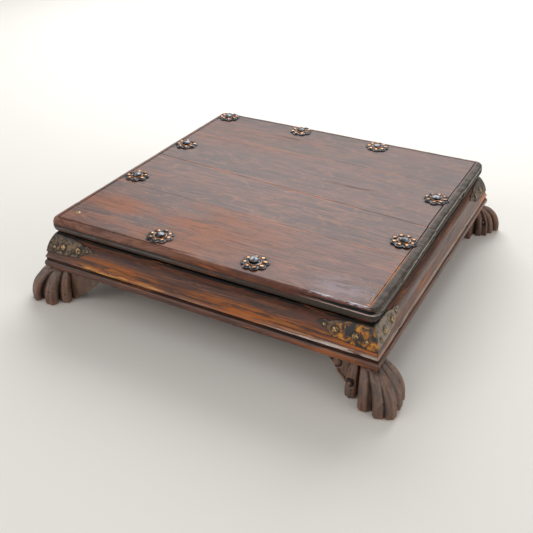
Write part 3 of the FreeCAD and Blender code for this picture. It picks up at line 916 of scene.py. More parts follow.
# Degrees from the diagonal, share of the reach, share of the width
front_toes = (
    (-41.0, 1.09, 0.85),
    (-23.0, 1.12, 0.92),
    (-8.0, 1.13, 0.85),
    (2.0, 1.01, 0.97),
    (17.0, 0.88, 1.0),
    (50.0, 0.62, 0.85),
)
plain_toes = (
    (-41.0, 1.05, 0.85),
    (-23.0, 1.12, 0.92),
    (-9.0, 1.05, 0.8),
    (2.0, 0.99, 0.8),
    (22.0, 0.93, 1.2),
    (41.0, 0.68, 1.0),
)
back_toes = (
    (38.0, 0.92, 0.85),
    (22.0, 0.93, 0.9),
    (8.0, 0.98, 0.85),
    (-2.0, 1.06, 0.75),
    (-9.0, 0.88, 0.7),
    (-18.0, 0.62, 0.8),
)
toe_top_size = 15.0
toe_size = 51.2
toe_squareness = 6.0
toe_top_half_width = 4.6
toe_half_width = 8.9
toe_thickness_share = 0.8
toe_ridge = 0.1
toe_flute = 0.13
toe_tip_height = 4.0
# Size, as a share of the last ring, and height of each ring that closes the tip
toe_tip_rings = ((0.97, 2.2), (0.9, 0.8), (0.76, 0.0))
core_long_inset = 28.0
core_short_inset = 17.0
core_top_size = 18.5
core_size = 39.5
bracket_inset = 10.3
bracket_thickness = 25.4
foot_height = apron_bottom
foot_voxel = 0.75
path_steps = 26
section_steps = 40
pole_gap = 0.06


# %% The path of a toe
def square_radius(angle, size):
    """Distance to a rounded square of a half size, in a direction."""
    total = abs(math.cos(angle)) ** toe_squareness + abs(math.sin(angle)) ** toe_squareness
    return size / total ** (1 / toe_squareness)


def quarter_path(angle, start, end, low, high):
    """Points and headings along a quarter of an ellipse that leaves the rail flat and lands upright."""
    outward = np.array([math.cos(angle), math.sin(angle), 0.0])
    up = np.array([0.0, 0.0, 1.0])
    phases = np.linspace(0, math.pi / 2, path_steps)
    reach = start + (end - start) * np.sin(phases)
    points = np.outer(reach, outward) + np.outer(low + (high - low) * np.cos(phases), up)
    heads = np.outer((end - start) * np.cos(phases), outward) - np.outer((high - low) * np.sin(phases), up)
    return points, heads / np.linalg.norm(heads, axis=1)[:, None], np.sin(phases)


def toe_section(across, carving):
    """Height of a toe's outer side over its width: full in the middle, with a ridge and two flutes."""
    body = np.clip(1 - np.abs(across) ** 2.6, 0, 1) ** (1 / 2.4)
    ridge = toe_ridge * bell(across, 0.16)
    flutes = toe_flute * bell(np.abs(across) - 0.5, 0.17)
    return body + carving * (ridge - flutes)


# %% A toe as a tube
def toe_tube(diagonal_angle, reach_share, width_share):
    """Rings of points along one toe, from inside the core to the floor."""
    angle = math.radians(45 + diagonal_angle)
    sideways = np.array([-math.sin(angle), math.cos(angle), 0.0])
    half_low = toe_half_width * width_share
    top_drop = 0.8 + toe_top_half_width * toe_thickness_share
    start = square_radius(angle, toe_top_size)
    end = square_radius(angle, toe_size) * reach_share - half_low * toe_thickness_share
    points, heads, spread = quarter_path(angle, start, end, toe_tip_height, foot_height - top_drop)
    turn = np.linspace(0, 2 * math.pi, section_steps, endpoint=False)
    rings = []
    for place, head, share in zip(points, heads, spread):
        half = toe_top_half_width + (half_low - toe_top_half_width) * share
        out = np.cross(sideways, head)
        out *= math.copysign(1, out[2] + out[0] + out[1])
        across = np.cos(turn)
        height = np.where(np.sin(turn) > 0, toe_section(across, share), -np.sqrt(1 - across**2))
        thick = half * toe_thickness_share
        rings.append(place + np.outer(half * across, sideways) + np.outer(thick * height, out))
    last = rings[-1]
    centre = points[-1]
    for shrink, z in toe_tip_rings:
        ring = centre + (last - centre) * shrink
        ring[:, 2] = z
        rings.append(ring)
    return np.array(rings)


# %% Closed shells to be melted together
def tube_mesh(rings):
    """Points and faces of a closed tube."""
    return rings.reshape(-1, 3), tube_faces(*rings.shape[:2])


def core_rings(side_inset, face_inset):
    """The wood behind the toes, measured from the toe axis."""
    side = toe_axis_inset - side_inset
    face = toe_axis_inset - face_inset
    rings = []
    for phase in np.linspace(0, math.pi / 2, path_steps):
        reach = core_top_size + (core_size - core_top_size) * math.sin(phase)
        z = foot_height * math.cos(phase)
        rings.append([(reach, reach, z), (side, reach, z), (side, face, z), (reach, face, z)])
    return np.array(rings)


def boss_seat(diagonal_angle, reach_share, width_share):
    """Where a boss sits on the outer face of a short toe, measured from the toe axis."""
    rings = toe_tube(diagonal_angle, reach_share, width_share)
    ring = rings[round(boss_way_share * (path_steps - 1))]
    middle = ring.mean(axis=0)
    return max(ring, key=lambda point: np.linalg.norm(point[:2]) if point[2] >= middle[2] else 0)


def dome_rings(centre, radius):
    """A ball as rings of points."""
    turn = np.linspace(0, 2 * math.pi, section_steps, endpoint=False)
    rings = []
    for lean in np.linspace(pole_gap, math.pi - pole_gap, section_steps // 2):
        level = np.full_like(turn, math.cos(lean))
        ring = np.stack([math.sin(lean) * np.cos(turn), math.sin(lean) * np.sin(turn), level], axis=1)
        rings.append(centre + radius * ring)
    return np.array(rings)


# %% [markdown]
# The bracket is cut from a board: its lower edge runs in two swells from a small tip to the floor.
# One front bracket is plainer than the others: longer, with an edge that runs almost straight.
# An outline like this needs only its corners and how far each curve swells between them.

# %% The outline of a bracket
bracket_tip_height = 3.0
carved_edge = {"reach": 72.0, "cusp": (52.5, 27.5), "base": 38.0, "swells": (2.6, 2.6)}
plain_edge = {"reach": 92.0, "cusp": (66.0, 26.5), "base": 36.0, "swells": (0.8, 0.8)}
edge_steps = 14


def swelling(start, end, swell):
    """Points from start to end, whose middle swells away from the foot. The last is left out."""
    shares = np.linspace(0, 1, edge_steps, endpoint=False)
    line = np.outer(1 - shares, start) + np.outer(shares, end)
    out = np.array([end[1] - start[1], start[0] - end[0]])
    out /= np.linalg.norm(out)
    out *= -math.copysign(1, out[1])
    return line - np.outer(4 * shares * (1 - shares) * swell, out)


def bracket_outline(edge):
    """Inset from the corner and height of each point, round the bracket."""
    tip = np.array([edge["reach"], foot_height - bracket_tip_height])
    cusp = np.array([edge["cusp"][0], foot_height - edge["cusp"][1]])
    base = np.array([edge["base"], 0.0])
    upper = swelling(tip, cusp, edge["swells"][0])
    lower = swelling(cusp, base, edge["swells"][1])
    ends = [
        (edge["base"], 0.0),
        (bracket_inset, 0.0),
        (bracket_inset, foot_height),
        (edge["reach"], foot_height),
    ]
    return np.concatenate([upper, lower, ends])


def bracket_rings(edge):
    """The bracket under the back rail, measured from the toe axis, as two rings."""
    outline = bracket_outline(edge)
    outer = half_depth - bracket_inset
    rings = []
    for y in (outer, outer - bracket_thickness):
        x = half_width - outline[:, 0]
        rings.append(np.stack([x, np.full_like(x, y), outline[:, 1]], axis=1))
    return np.array(rings)


print("points in a bracket's outline:", len(bracket_outline(carved_edge)))

# %% [markdown]
# Now the shells are melted together. A voxel remesh keeps only the outer skin of what overlaps,
# and it rounds the meeting lines a little, as a gouge does.
# The relief is pressed into the skin afterwards: on the bracket a ring round a pearl near the tip
# and a line that follows the lower edge, and a groove round the boss on the short toe.

# %% Melting shells
def melted(shells, voxel):
    """Points, in millimetres, and faces of one skin round closed shells."""
    points = []
    faces = []
    for shell_points, shell_faces in shells:
        start = len(points)
        points += shell_points.tolist()
        faces += [tuple(int(i) + start for i in face) for face in shell_faces]
    rough = bpy.data.meshes.new("rough")
    rough.from_pydata((np.array(points) * mm).tolist(), [], faces)
    holder = bpy.data.objects.new("rough", rough)
    scene.collection.objects.link(holder)
    remesh = holder.modifiers.new("melt", "REMESH")
    remesh.mode = "VOXEL"
    remesh.voxel_size = voxel * mm
    evaluated = holder.evaluated_get(bpy.context.evaluated_depsgraph_get())
    skin = bpy.data.meshes.new_from_object(evaluated)
    skin_points = read_points(skin)
    skin_faces = [tuple(face.vertices) for face in skin.polygons]
    bpy.data.objects.remove(holder)
    bpy.data.meshes.remove(rough)
    bpy.data.meshes.remove(skin)
    return skin_points, skin_faces


def read_points(mesh):
    """The points of a mesh, in millimetres."""
    flat = np.zeros(len(mesh.vertices) * 3, np.float32)
    mesh.vertices.foreach_get("co", flat)
    return flat.reshape(-1, 3).astype(float) / mm


# %% Smoothing and hollows
def neighbours(faces):
    """The two ends of every edge of a mesh of faces."""
    pairs = set()
    for face in faces:
        for a, b in zip(face, face[1:] + face[:1]):
            pairs.add((a, b) if a < b else (b, a))
    return np.array(sorted(pairs))


def smoothed(points, edges, rounds):
    """Points moved towards the mean of their neighbours, several times."""
    ends = np.concatenate([edges[:, 0], edges[:, 1]])
    others = np.concatenate([edges[:, 1], edges[:, 0]])
    count = np.bincount(ends, minlength=len(points))
    for _ in range(rounds):
        mean = np.stack([np.bincount(ends, points[others, axis], len(points)) for axis in range(3)], axis=1)
        points = (points + mean / count[:, None]) / 2
    return points


def point_normals(points, faces):
    """The way out of the surface at each point. All the faces have four corners."""
    quads = np.array([face if len(face) == 4 else (*face, face[-1]) for face in faces])
    across = points[quads[:, 2]] - points[quads[:, 0]]
    along = points[quads[:, 3]] - points[quads[:, 1]]
    face_normals = np.cross(across, along)
    normals = np.zeros_like(points)
    for corner in range(4):
        for axis in range(3):
            normals[:, axis] += np.bincount(quads[:, corner], face_normals[:, axis], len(points))
    return normals / np.maximum(np.linalg.norm(normals, axis=1), 1e-12)[:, None]


# %% Relief on a bracket
ring_setback = 17.0
ring_drop = 13.0
ring_radius = 6.4
ring_width = 1.25
ring_depth = 1.5
pearl_radius = 3.7
pearl_height = 1.5
boss_way_share = 0.72
boss_radius = 3.6
boss_groove_depth = 1.6
boss_groove_width = 1.3
edge_line_inset = 3.4
edge_line_depth = 0.9


def relief(inset, height, edge):
    """How far the carving stands out of a bracket's face, at an inset from the corner and a height."""
    from_ring = np.hypot(inset - edge["reach"] + ring_setback, height - foot_height + ring_drop)
    outline = bracket_outline(edge)[: 2 * edge_steps]
    gaps = np.hypot(inset[:, None] - outline[:, 0], height[:, None] - outline[:, 1]).min(axis=1)
    raised = pearl_height * np.sqrt(np.clip(1 - (from_ring / pearl_radius) ** 2, 0, 1))
    raised -= ring_depth * bell(from_ring - ring_radius, ring_width)
    clear = ease(from_ring, ring_radius, ring_radius + 3.0)
    return raised - edge_line_depth * bell(gaps - edge_line_inset, 0.9) * clear


# %% A carved foot
melt_rounds = 2
sharpen_rounds = 14
sharpen_share = 0.9
hollow_rounds = 24


def foot_skin(toes, core_insets, back_edge, side_edge):
    """The skin of a foot at the back right corner."""
    axis = np.array([half_width - toe_axis_inset, half_depth - toe_axis_inset, 0.0])
    shells = [tube_mesh(toe_tube(*sizes) + axis) for sizes in toes]
    shells.append(tube_mesh(core_rings(*core_insets) + axis))
    seat = axis + boss_seat(*toes[-1])
    if toes is not plain_toes:
        shells.append(tube_mesh(dome_rings(seat, boss_radius)))
    swap = half_width - half_depth
    shells.append(tube_mesh(bracket_rings(back_edge)))
    side = bracket_rings(side_edge)
    shells.append(tube_mesh(np.stack([side[..., 1] + swap, side[..., 0] - swap, side[..., 2]], axis=2)))
    points, faces = melted([outward(shell) for shell in shells], foot_voxel)
    edges = neighbours(faces)
    points = smoothed(points, edges, melt_rounds)
    normals = point_normals(points, faces)
    if toes is not plain_toes:
        from_boss = np.linalg.norm(points - seat, axis=1) - boss_radius
        groove = bell(from_boss - boss_groove_width, boss_groove_width)
        points = points - normals * (boss_groove_depth * groove)[:, None]
    for here, edge in ((1, back_edge), (0, side_edge)):
        if edge is carved_edge:
            lip = (half_width, half_depth)
            flat = ease(normals[:, here], 0.6, 0.9) * bell(lip[here] - bracket_inset - points[:, here], 1.5)
            points[:, here] += flat * relief(lip[1 - here] - points[:, 1 - here], points[:, 2], edge)
    sharper = points + sharpen_share * (points - smoothed(points, edges, sharpen_rounds))
    return sharper, faces, edges


def outward(shell):
    """Turns a shell inside out if its volume is negative."""
    points, faces = shell
    volume = 0.0
    for face in faces:
        for b, c in zip(face[1:], face[2:]):
            volume += np.dot(points[face[0]], np.cross(points[b], points[c]))
    return (points, faces) if volume > 0 else (points, [face[::-1] for face in faces])


# %% The four feet
corners = {
    "front_left": (-1, -1),
    "front_right": (1, -1),
    "back_left": (-1, 1),
    "back_right": (1, 1),
}


def make_foot(name, skin, signs):
    """A foot carried to its corner, worn there, and marked where it is hollow."""
    points, faces, edges = skin
    points = points * (*signs, 1)
    if signs[0] * signs[1] < 0:
        faces = [face[::-1] for face in faces]
    normals = point_normals(points, faces)
    worn = 0.2 + 0.2 * lumps(points, 9.0, 40) + 0.5 * ease(lumps(points, 6.0, 41), 0.5, 0.9)
    points = points - normals * worn[:, None]
    low, high = corners_of("foot_" + name)
    points = np.clip(points, np.array(low), np.array(high))
    hollow = ((smoothed(points, edges, hollow_rounds) - points) * normals).sum(axis=1)
    piece = new_piece("carved_foot_" + name, points, faces, ["foot_" + name], crease=180)
    mark(piece.data, "hollow", hollow)
    return piece


front_core = (core_short_inset, core_long_inset)
back_skin = foot_skin(back_toes, front_core[::-1], carved_edge, carved_edge)
skins = {
    "front_left": foot_skin(plain_toes, front_core, plain_edge, carved_edge),
    "front_right": foot_skin(front_toes, front_core, carved_edge, carved_edge),
    "back_left": back_skin,
    "back_right": back_skin,
}
feet = [make_foot(name, skins[name], signs) for name, signs in corners.items()]
print("faces in a foot:", len(back_skin[1]))

# %% [markdown]
# Iron straps hold the corners. Each is a thin sheet bent round the mitre, with a lobe and a point
# at both ends. It lies on the swelling band of the rail, so it is made as a grid over the band:
# one direction runs round the corner and the other runs between its two edges.
# The edges were cut with a chisel and have been bent since, so they wander a little.

# %% Sizes of a strap
strap_gauge = 1.0
strap_reach = 82.0
strap_low = 21.8
strap_high = 47.6
strap_stations = (0.0, 0.51, 0.73, 0.81, 0.87, 1.0)
strap_low_shares = (0.0, 0.07, 0.18, 0.43, 0.44, 0.62)
strap_high_shares = (1.0, 0.97, 0.88, 0.77, 0.82, 0.64)
strap_wander = 0.5
strap_dent_share = 0.35
socket_gap = 0.7
socket_width = 1.0
strap_columns = 141
strap_rows = 15
band_centre, band_radius = circle_through(*band_arc)


def band_inset(height, above):
    """How far inside the lip a point lies that is a little above the band."""
    return band_centre[0] - np.sqrt((band_radius + above) ** 2 - (height - band_centre[1]) ** 2)


# %% Making the straps
def strap_sheet(above, signs, seed):
    """Rows of points of one strap at a distance above the band, round a corner."""
    along = np.linspace(-1, 1, strap_columns)
    share = np.linspace(0, 1, strap_rows)
    u, v = (part.ravel() for part in np.meshgrid(along, share))
    reach = np.abs(u)
    wander = np.stack([u * strap_reach, np.zeros_like(u), np.full_like(u, seed)], axis=1)
    width = strap_high - strap_low
    low = strap_low + width * np.interp(reach, strap_stations, strap_low_shares)
    low = low + strap_wander * lumps(wander, 5.0, 50)
    high = strap_low + width * np.interp(reach, strap_stations, strap_high_shares)
    high = high + strap_wander * lumps(wander, 6.0, 51)
    height = low + (high - low) * v
    inset = band_inset(height, above)
    from_corner = strap_reach * reach + inset * (1 - reach) ** 3
    across = np.where(u < 0, from_corner, inset)
    deep = np.where(u < 0, inset, from_corner)
    x = signs[0] * (half_width - across)
    y = signs[1] * (half_depth - deep)
    return np.stack([x, y, apron_bottom + np.clip(height, strap_low, strap_high)], axis=1), u, v


strap_nail_reach_shares = (0.22, 0.4, 0.7, 0.87)
strap_nail_height_shares = (0.37, 0.47, 0.5, 0.61)
strap_nail_sizes = (2.2, 4.3, 4.3, 2.35)


def strap_nail_points(signs):
    """Places and headings of the nails of one strap."""
    places = []
    headings = []
    for reach_share, height_share in zip(strap_nail_reach_shares, strap_nail_height_shares):
        height = strap_low + (strap_high - strap_low) * height_share
        inset = band_inset(height, strap_gauge)
        along = strap_reach * reach_share
        rise = (height - band_centre[1]) / (band_radius + strap_gauge)
        flat = math.sqrt(1 - rise**2)
        for across, deep, out in ((along, inset, (0.0, flat)), (inset, along, (flat, 0.0))):
            x = signs[0] * (half_width - across)
            y = signs[1] * (half_depth - deep)
            places.append((x, y, apron_bottom + height))
            headings.append((signs[0] * out[0], signs[1] * out[1], rise))
    return places, headings


def make_strap(name, signs, seed):
    """One strap, dented, and marked where it is bent and round its nails."""
    outer, u, v = strap_sheet(0.9 * strap_gauge, signs, seed)
    inner = strap_sheet(0.05, signs, seed)[0]
    dents = strap_dent_share * strap_gauge * (1 + lumps(outer, 7.0, 52)) / 2
    centre = np.array([signs[0], signs[1], 0.0]) / math.sqrt(2)
    outer = outer - np.outer(dents, centre)
    faces = closed_sheet(strap_rows, strap_columns)
    if signs[0] * signs[1] > 0:
        faces = [face[::-1] for face in faces]
    points = np.concatenate([outer, inner])
    piece = new_piece("strap_" + name, points, faces, ["corner_strap_" + name])
    place = np.tile(np.stack([u, v, np.full_like(u, seed)], axis=1), (2, 1))
    mark(piece.data, "strap_place", place)
    nail_places = strap_nail_points(signs)[0]
    radii = np.repeat(strap_nail_sizes, 2)
    gaps = [np.linalg.norm(outer - nail, axis=1) - radius for nail, radius in zip(nail_places, radii)]
    socket = bell(np.min(gaps, axis=0) - socket_gap, socket_width)
    mark(piece.data, "socket", np.tile(socket, 2))
    return piece


straps = [make_strap(name, signs, seed) for seed, (name, signs) in enumerate(corners.items())]
print("straps:", [strap.name for strap in straps])

# %% [markdown]
# Nails and flowers repeat, so Geometry Nodes set them. One head or one petal is shaped once
# and then set on points, and each point says which way its head faces and how large it is.
# Copies that share one mesh are fast to draw, but only plain meshes are kept,
# so every tree ends by turning its copies into one mesh.


# %% A tree that sets things on points
class Growth(Nodes):
    """A Geometry Nodes tree with a named input for each of its sizes."""

    def __init__(self, name, sizes):
        super().__init__(bpy.data.node_groups.new(name, "GeometryNodeTree"))
        self.sizes = sizes
        self.identifiers = {}
        face = self.tree.interface
        face.new_socket("Points", in_out="INPUT", socket_type="NodeSocketGeometry")
        for label in sizes:
            socket = face.new_socket(label, in_out="INPUT", socket_type="NodeSocketFloat")
            self.identifiers[label] = socket.identifier
        face.new_socket("Result", in_out="OUTPUT", socket_type="NodeSocketGeometry")
        self.inputs = self.tree.nodes.new("NodeGroupInput")
        self.outputs = self.tree.nodes.new("NodeGroupOutput")

    def given(self, label):
        return Output(self, self.inputs.outputs[label])

    def named(self, name, data_type="FLOAT"):
        """A value that every point carries."""
        return self.node("GeometryNodeInputNamedAttribute", {"data_type": data_type}, {"Name": name})

    def stored(self, geometry, name, value):
        settings = {"data_type": "FLOAT", "domain": "POINT"}
        sockets = {"Geometry": geometry, "Name": name, "Value": value}
        return self.node("GeometryNodeStoreNamedAttribute", settings, sockets)

    def combined(self, x, y, z):
        return self.node("ShaderNodeCombineXYZ", {}, {0: x, 1: y, 2: z})

    def ball(self, segments, rings):
        """A ball of radius 1 whose points know their height, from -1 to 1, as rise."""
        sockets = {"Segments": segments, "Rings": rings, "Radius": 1.0}
        sphere = self.node("GeometryNodeMeshUVSphere", {}, sockets)
        return self.stored(sphere, "rise", self.axes(self.node("GeometryNodeInputPosition", {}, {}))[2])

    def moved(self, geometry, offset):
        return self.node("GeometryNodeSetPosition", {}, {"Geometry": geometry, "Offset": offset})

    def pressed(self, geometry, width, height, lift=0.0):
        """Scales a piece to a width and a height, and lifts it."""
        place = self.node("GeometryNodeInputPosition", {}, {})
        scaled = self.vector_maths("MULTIPLY", place, self.combined(width, width, height))
        there = self.vector_maths("ADD", scaled, self.combined(0.0, 0.0, lift))
        return self.node("GeometryNodeSetPosition", {}, {"Geometry": geometry, "Position": there})

    def joined(self, *parts):
        joint = self.tree.nodes.new("GeometryNodeJoinGeometry")
        for part in parts:
            self.tree.links.new(part.socket, joint.inputs[0])
        return Output(self, joint.outputs[0])

    def finish(self, instances, material):
        plain = self.node("GeometryNodeRealizeInstances", {}, {0: instances})
        painted = self.node("GeometryNodeSetMaterial", {}, {"Geometry": plain, "Material": material})
        self.tree.links.new(painted.socket, self.outputs.inputs[0])

    def grow(self, places, **fields):
        """Runs the tree on points in millimetres, which carry fields of numbers or vectors."""
        seeds = bpy.data.meshes.new("seeds")
        seeds.from_pydata((np.asarray(places) * mm).tolist(), [], [])
        for name, values in fields.items():
            mark(seeds, name, values)
        holder = bpy.data.objects.new("seeds", seeds)
        scene.collection.objects.link(holder)
        modifier = holder.modifiers.new("growth", "NODES")
        modifier.node_group = self.tree
        for label, value in self.sizes.items():
            modifier[self.identifiers[label]] = value
        evaluated = holder.evaluated_get(bpy.context.evaluated_depsgraph_get())
        mesh = bpy.data.meshes.new_from_object(evaluated)
        bpy.data.objects.remove(holder)
        bpy.data.meshes.remove(seeds)
        return mesh


# %% [markdown]
# A forged head is a low dome, never quite round. The tree takes a ball, pushes it out of true with noise,
# flattens it and sets it on every point, turned to the point's heading and spun at random.
# The spin comes from a generator with a fixed seed, so each run gives the same heads.

# %% The tree for nail heads
old_steel = Finish("old_steel", roughness=0.36, metallic=0.9)


def head_tree(name, dome_share):
    """A tree of heads whose height is a share of their radius."""
    tree = Growth(name, {"Dome share": dome_share, "Unevenness": 0.3})
    ball = tree.ball(28, 16)
    place = tree.node("GeometryNodeInputPosition", {}, {})
    push = (tree.noise(place, scale=1.3, detail=2.0) - 0.5) * tree.given("Unevenness")
    offset = tree.node("ShaderNodeVectorMath", {"operation": "SCALE"}, {0: place, "Scale": push})
    dented = tree.moved(ball, offset)
    dome = tree.pressed(dented, 0.96, tree.given("Dome share"))
    heading = tree.named("heading", "FLOAT_VECTOR")
    faced = tree.node("FunctionNodeAlignRotationToVector", {"axis": "Z"}, {"Vector": heading})
    euler = tree.combined(0.0, 0.0, tree.named("spin"))
    spin = tree.node("FunctionNodeEulerToRotation", {}, {0: euler})
    turned = tree.node("FunctionNodeRotateRotation", {"rotation_space": "LOCAL"}, {0: faced, 1: spin})
    size = tree.named("head_radius")
    sockets = {
        "Points": tree.given("Points"),
        "Instance": dome,
        "Rotation": turned,
        "Scale": tree.combined(size, size, size),
    }
    tree.finish(tree.node("GeometryNodeInstanceOnPoints", {}, sockets), old_steel.material)
    return tree


strap_heads = head_tree("strap_heads", 0.43)
flower_heads = head_tree("flower_heads", 0.37)
flat_heads = head_tree("flat_heads", 0.15)


# %% Nail heads on the straps
full_turn = 6.3
head_crease = 60
spins = np.random.default_rng(23)
nails = []
for name, signs in corners.items():
    places, headings = strap_nail_points(signs)
    sizes = np.repeat(strap_nail_sizes, 2) * spins.uniform(0.9, 1.0, len(places)) * mm
    spin = spins.uniform(0, full_turn, len(places))
    mesh = strap_heads.grow(places, heading=headings, head_radius=sizes, spin=spin)
    nails.append(dress("nails_" + name, mesh, ["strap_nails_" + name], crease=head_crease))
print("faces in the nails of a strap:", len(nails[0].data.polygons))

# %% [markdown]
# The flowers are pressed from thin brass: eight petals with a pearl on each, round a cup for the nail.
# The petals are set on a circle and the flower on nine points, each with its own turn and tilt.
# A flower was pulled off at three corners, and a stub of one nail is left at the front.

# %% The tree for flowers
flower_inset = 38.2
flower_plate = 1.2
# The most that a flower tips along X and Y, and turns
flower_tilt = (0.02, 0.02, 0.39)
flower_head_lift = 0.7
flower_head_radii = (6.2, 6.9)
askew_shift = (-3.4, 2.4, 0.0)
stub_radius = 3.8
stub_turn = 0.4
worn_brass = Finish("worn_brass", roughness=0.34, metallic=0.85)
flower_sizes = {
    "Petal place": 12.2,
    "Petal radius": 5.6,
    "Pearl place": 12.6,
    "Pearl radius": 3.9,
    "Middle radius": 11.9,
    "Cup radius": 8.0,
}


def circle_curve(tree, resolution, radius):
    sockets = {"Resolution": resolution, "Radius": radius}
    return tree.node("GeometryNodeCurvePrimitiveCircle", {}, sockets)


def ring_of(tree, part, count, radius):
    """Copies of a part on a circle."""
    circle = tree.node("GeometryNodeMeshCircle", {}, {"Vertices": count, "Radius": radius})
    return tree.node("GeometryNodeInstanceOnPoints", {}, {"Points": circle, "Instance": part})


def flower_tree():
    """The tree that sets one whole flower on every point. Its sizes are in millimetres."""
    tree = Growth("flowers", flower_sizes)
    petal = tree.stored(tree.ball(24, 10), "rise", 0.0)
    petal = tree.pressed(petal, tree.given("Petal radius"), 0.62, lift=0.95)
    pearl = tree.pressed(tree.ball(20, 12), tree.given("Pearl radius"), 2.2, lift=0.85)
    middle = tree.stored(tree.ball(36, 10), "rise", 0.0)
    middle = tree.pressed(middle, tree.given("Middle radius"), 0.7, lift=0.8)
    rim = circle_curve(tree, 40, tree.given("Cup radius"))
    wire = circle_curve(tree, 10, 0.75)
    cup = tree.node("GeometryNodeCurveToMesh", {}, {"Curve": rim, "Profile Curve": wire})
    cup = tree.moved(tree.stored(cup, "rise", 0.84), (0.0, 0.0, 1.75))
    petals = ring_of(tree, petal, 8, tree.given("Petal place"))
    pearls = ring_of(tree, pearl, 8, tree.given("Pearl place"))
    sockets = {
        "Points": tree.given("Points"),
        "Instance": tree.joined(petals, pearls, middle, cup),
        "Rotation": tree.node("FunctionNodeEulerToRotation", {}, {0: tree.named("turn", "FLOAT_VECTOR")}),
        "Scale": (mm, mm, mm),
    }
    copies = tree.node("GeometryNodeInstanceOnPoints", {}, sockets)
    flowers = tree.node("GeometryNodeRealizeInstances", {}, {0: copies})
    place = tree.node("GeometryNodeInputPosition", {}, {})
    wobble = tree.node("ShaderNodeTexNoise", {}, {"Vector": place, "Scale": 190.0, "Detail": 2.0}, "Color")
    both_ways = tree.vector_maths("SUBTRACT", wobble, (0.5, 0.5, 0.5))
    dents = tree.vector_maths("MULTIPLY", both_ways, (0.0014, 0.0014, 0.0007))
    tree.finish(tree.moved(flowers, dents), worn_brass.material)
    return tree


# %% Flowers and their nails
flower_x = half_width - flower_inset
flower_y = half_depth - flower_inset
third = 1 / 3
# Where each flower belongs, as shares of the way from the middle, and how far off that place it sits
flower_plan = {
    "back_left_corner": (-1, 1, -1.0, 2.5),
    "back_left": (-third, 1, 0.5, 2.5),
    "back_right": (third, 1, -0.5, -0.5),
    "right_back": (1, third, 1.5, -1.5),
    "right_front": (1, -third, 1.5, -2.0),
    "front_right": (third, -1, -1.5, -2.5),
    "front_left": (-third, -1, -2.0, -2.5),
    "left_front": (-1, -third, 1.5, -2.0),
    "left_back": (-1, third, 0.5, -1.0),
}
flower_spots = {}
for name, (across, deep, right, back) in flower_plan.items():
    flower_spots[name] = (flower_x * across + right, flower_y * deep + back)
# A turn is drawn for each of the twelve places of the plan. Three of them have lost their flower.
count = len(flower_spots)
turns = spins.uniform(-1, 1, (count + 3, 3))[:count] * flower_tilt
spots = [(*spot, board_top) for spot in flower_spots.values()]
flower_mesh = flower_tree().grow(spots, turn=turns)
flower_nodes = ["flower_" + name for name in flower_spots]
flowers = dress("brass_flowers", flower_mesh, flower_nodes, crease=head_crease)
head_spots = np.array(spots) + (0.0, 0.0, 2 * flower_plate + flower_head_lift)
# One nail sits off the middle of its flower
head_spots[flower_nodes.index("flower_front_right")] += askew_shift
upright = np.tile((0.0, 0.0, 1.0), (count, 1))
head_sizes = spins.uniform(*flower_head_radii, count) * mm
head_turns = spins.uniform(0, full_turn, count)
head_mesh = flower_heads.grow(head_spots, heading=upright, head_radius=head_sizes, spin=head_turns)
nails.append(dress("nails_flowers", head_mesh, ["flower_nails"], crease=head_crease))
stub_spot = [(-flower_x, -flower_y, board_top)]
stub_mesh = flat_heads.grow(stub_spot, heading=upright[:1], head_radius=[stub_radius * mm], spin=[stub_turn])
nails.append(dress("nail_stub", stub_mesh, ["stub_nail_front_left"], crease=head_crease))
print("faces in the flowers:", len(flower_mesh.polygons))

# %% [markdown]
# Now the finishes. The top carries a century of wax: a dark reddish brown, streaked along the grain,
# with a thin glossy coat that picks up the window. Where hands and things have rubbed it, the coat is thin
# and a warmer brown shows. Dirt lies in the groove, in the joints and round the flowers.
# Every board gets its own shift of the same grain, so that the joints show as they do on real boards.

# %% Marks for the polish
ghost_spot = (flower_x, -flower_y)
ghost_radius = 13.0
ghost_width = 4.5
flower_radius = 16.5
dirt_width = 4.0
stain_radius = 3.0
stain_spots = ((17.0, -200.0), (110.0, -125.0))


def mark_board(piece, number):
    """Tells each point of a board how far it is from a joint, the edge and the nearest flower."""
    x, y = read_points(piece.data)[:, :2].T
    share = (x + top_half_width) / (2 * top_half_width)
    lines = [left + (right - left) * share for left, right in joints]
    to_joint = np.abs(np.array(lines) - y).min(axis=0)
    to_edge = np.minimum(top_half_width - np.abs(x), top_half_depth - np.abs(y))
    mark(piece.data, "board_place", np.stack([np.full_like(x, number), to_joint * mm, to_edge * mm], axis=1))
    mark(piece.data, "groove_gap", np.minimum(*from_groove(x, y)) * mm)
    mark(piece.data, "groove_left", 1.0 - worn_away(x, y))
    to_flower = np.min([np.hypot(x - a, y - b) for a, b in flower_spots.values()], axis=0)
    dirt_and_shade = bell(np.maximum(to_flower - flower_radius, 0), dirt_width)
    to_ghost = np.hypot(x - ghost_spot[0], y - ghost_spot[1])
    ghost = bell(to_ghost - ghost_radius, ghost_width) + bell(to_ghost, dirt_width)
    mark(piece.data, "ghost", ghost)
    for a, b in stain_spots:
        dirt_and_shade += 0.7 * bell(np.hypot(x - a, y - b), stain_radius)
    mark(piece.data, "dirt_and_shade", np.clip(dirt_and_shade, 0, 1))
    # Painted shade in the split and the fine line.
    mark(piece.data, "filled", np.clip(wall_shade[number], 0, 1))
    # Painted highlight on the lip below the split.
    mark(piece.data, "rubbed_and_highlit", wall_highlight[number])


for number, piece in enumerate(boards):
    mark_board(piece, number)
print("marks on a board:", sorted(set(boards[0].data.attributes.keys()) - set(floor.data.attributes.keys())))

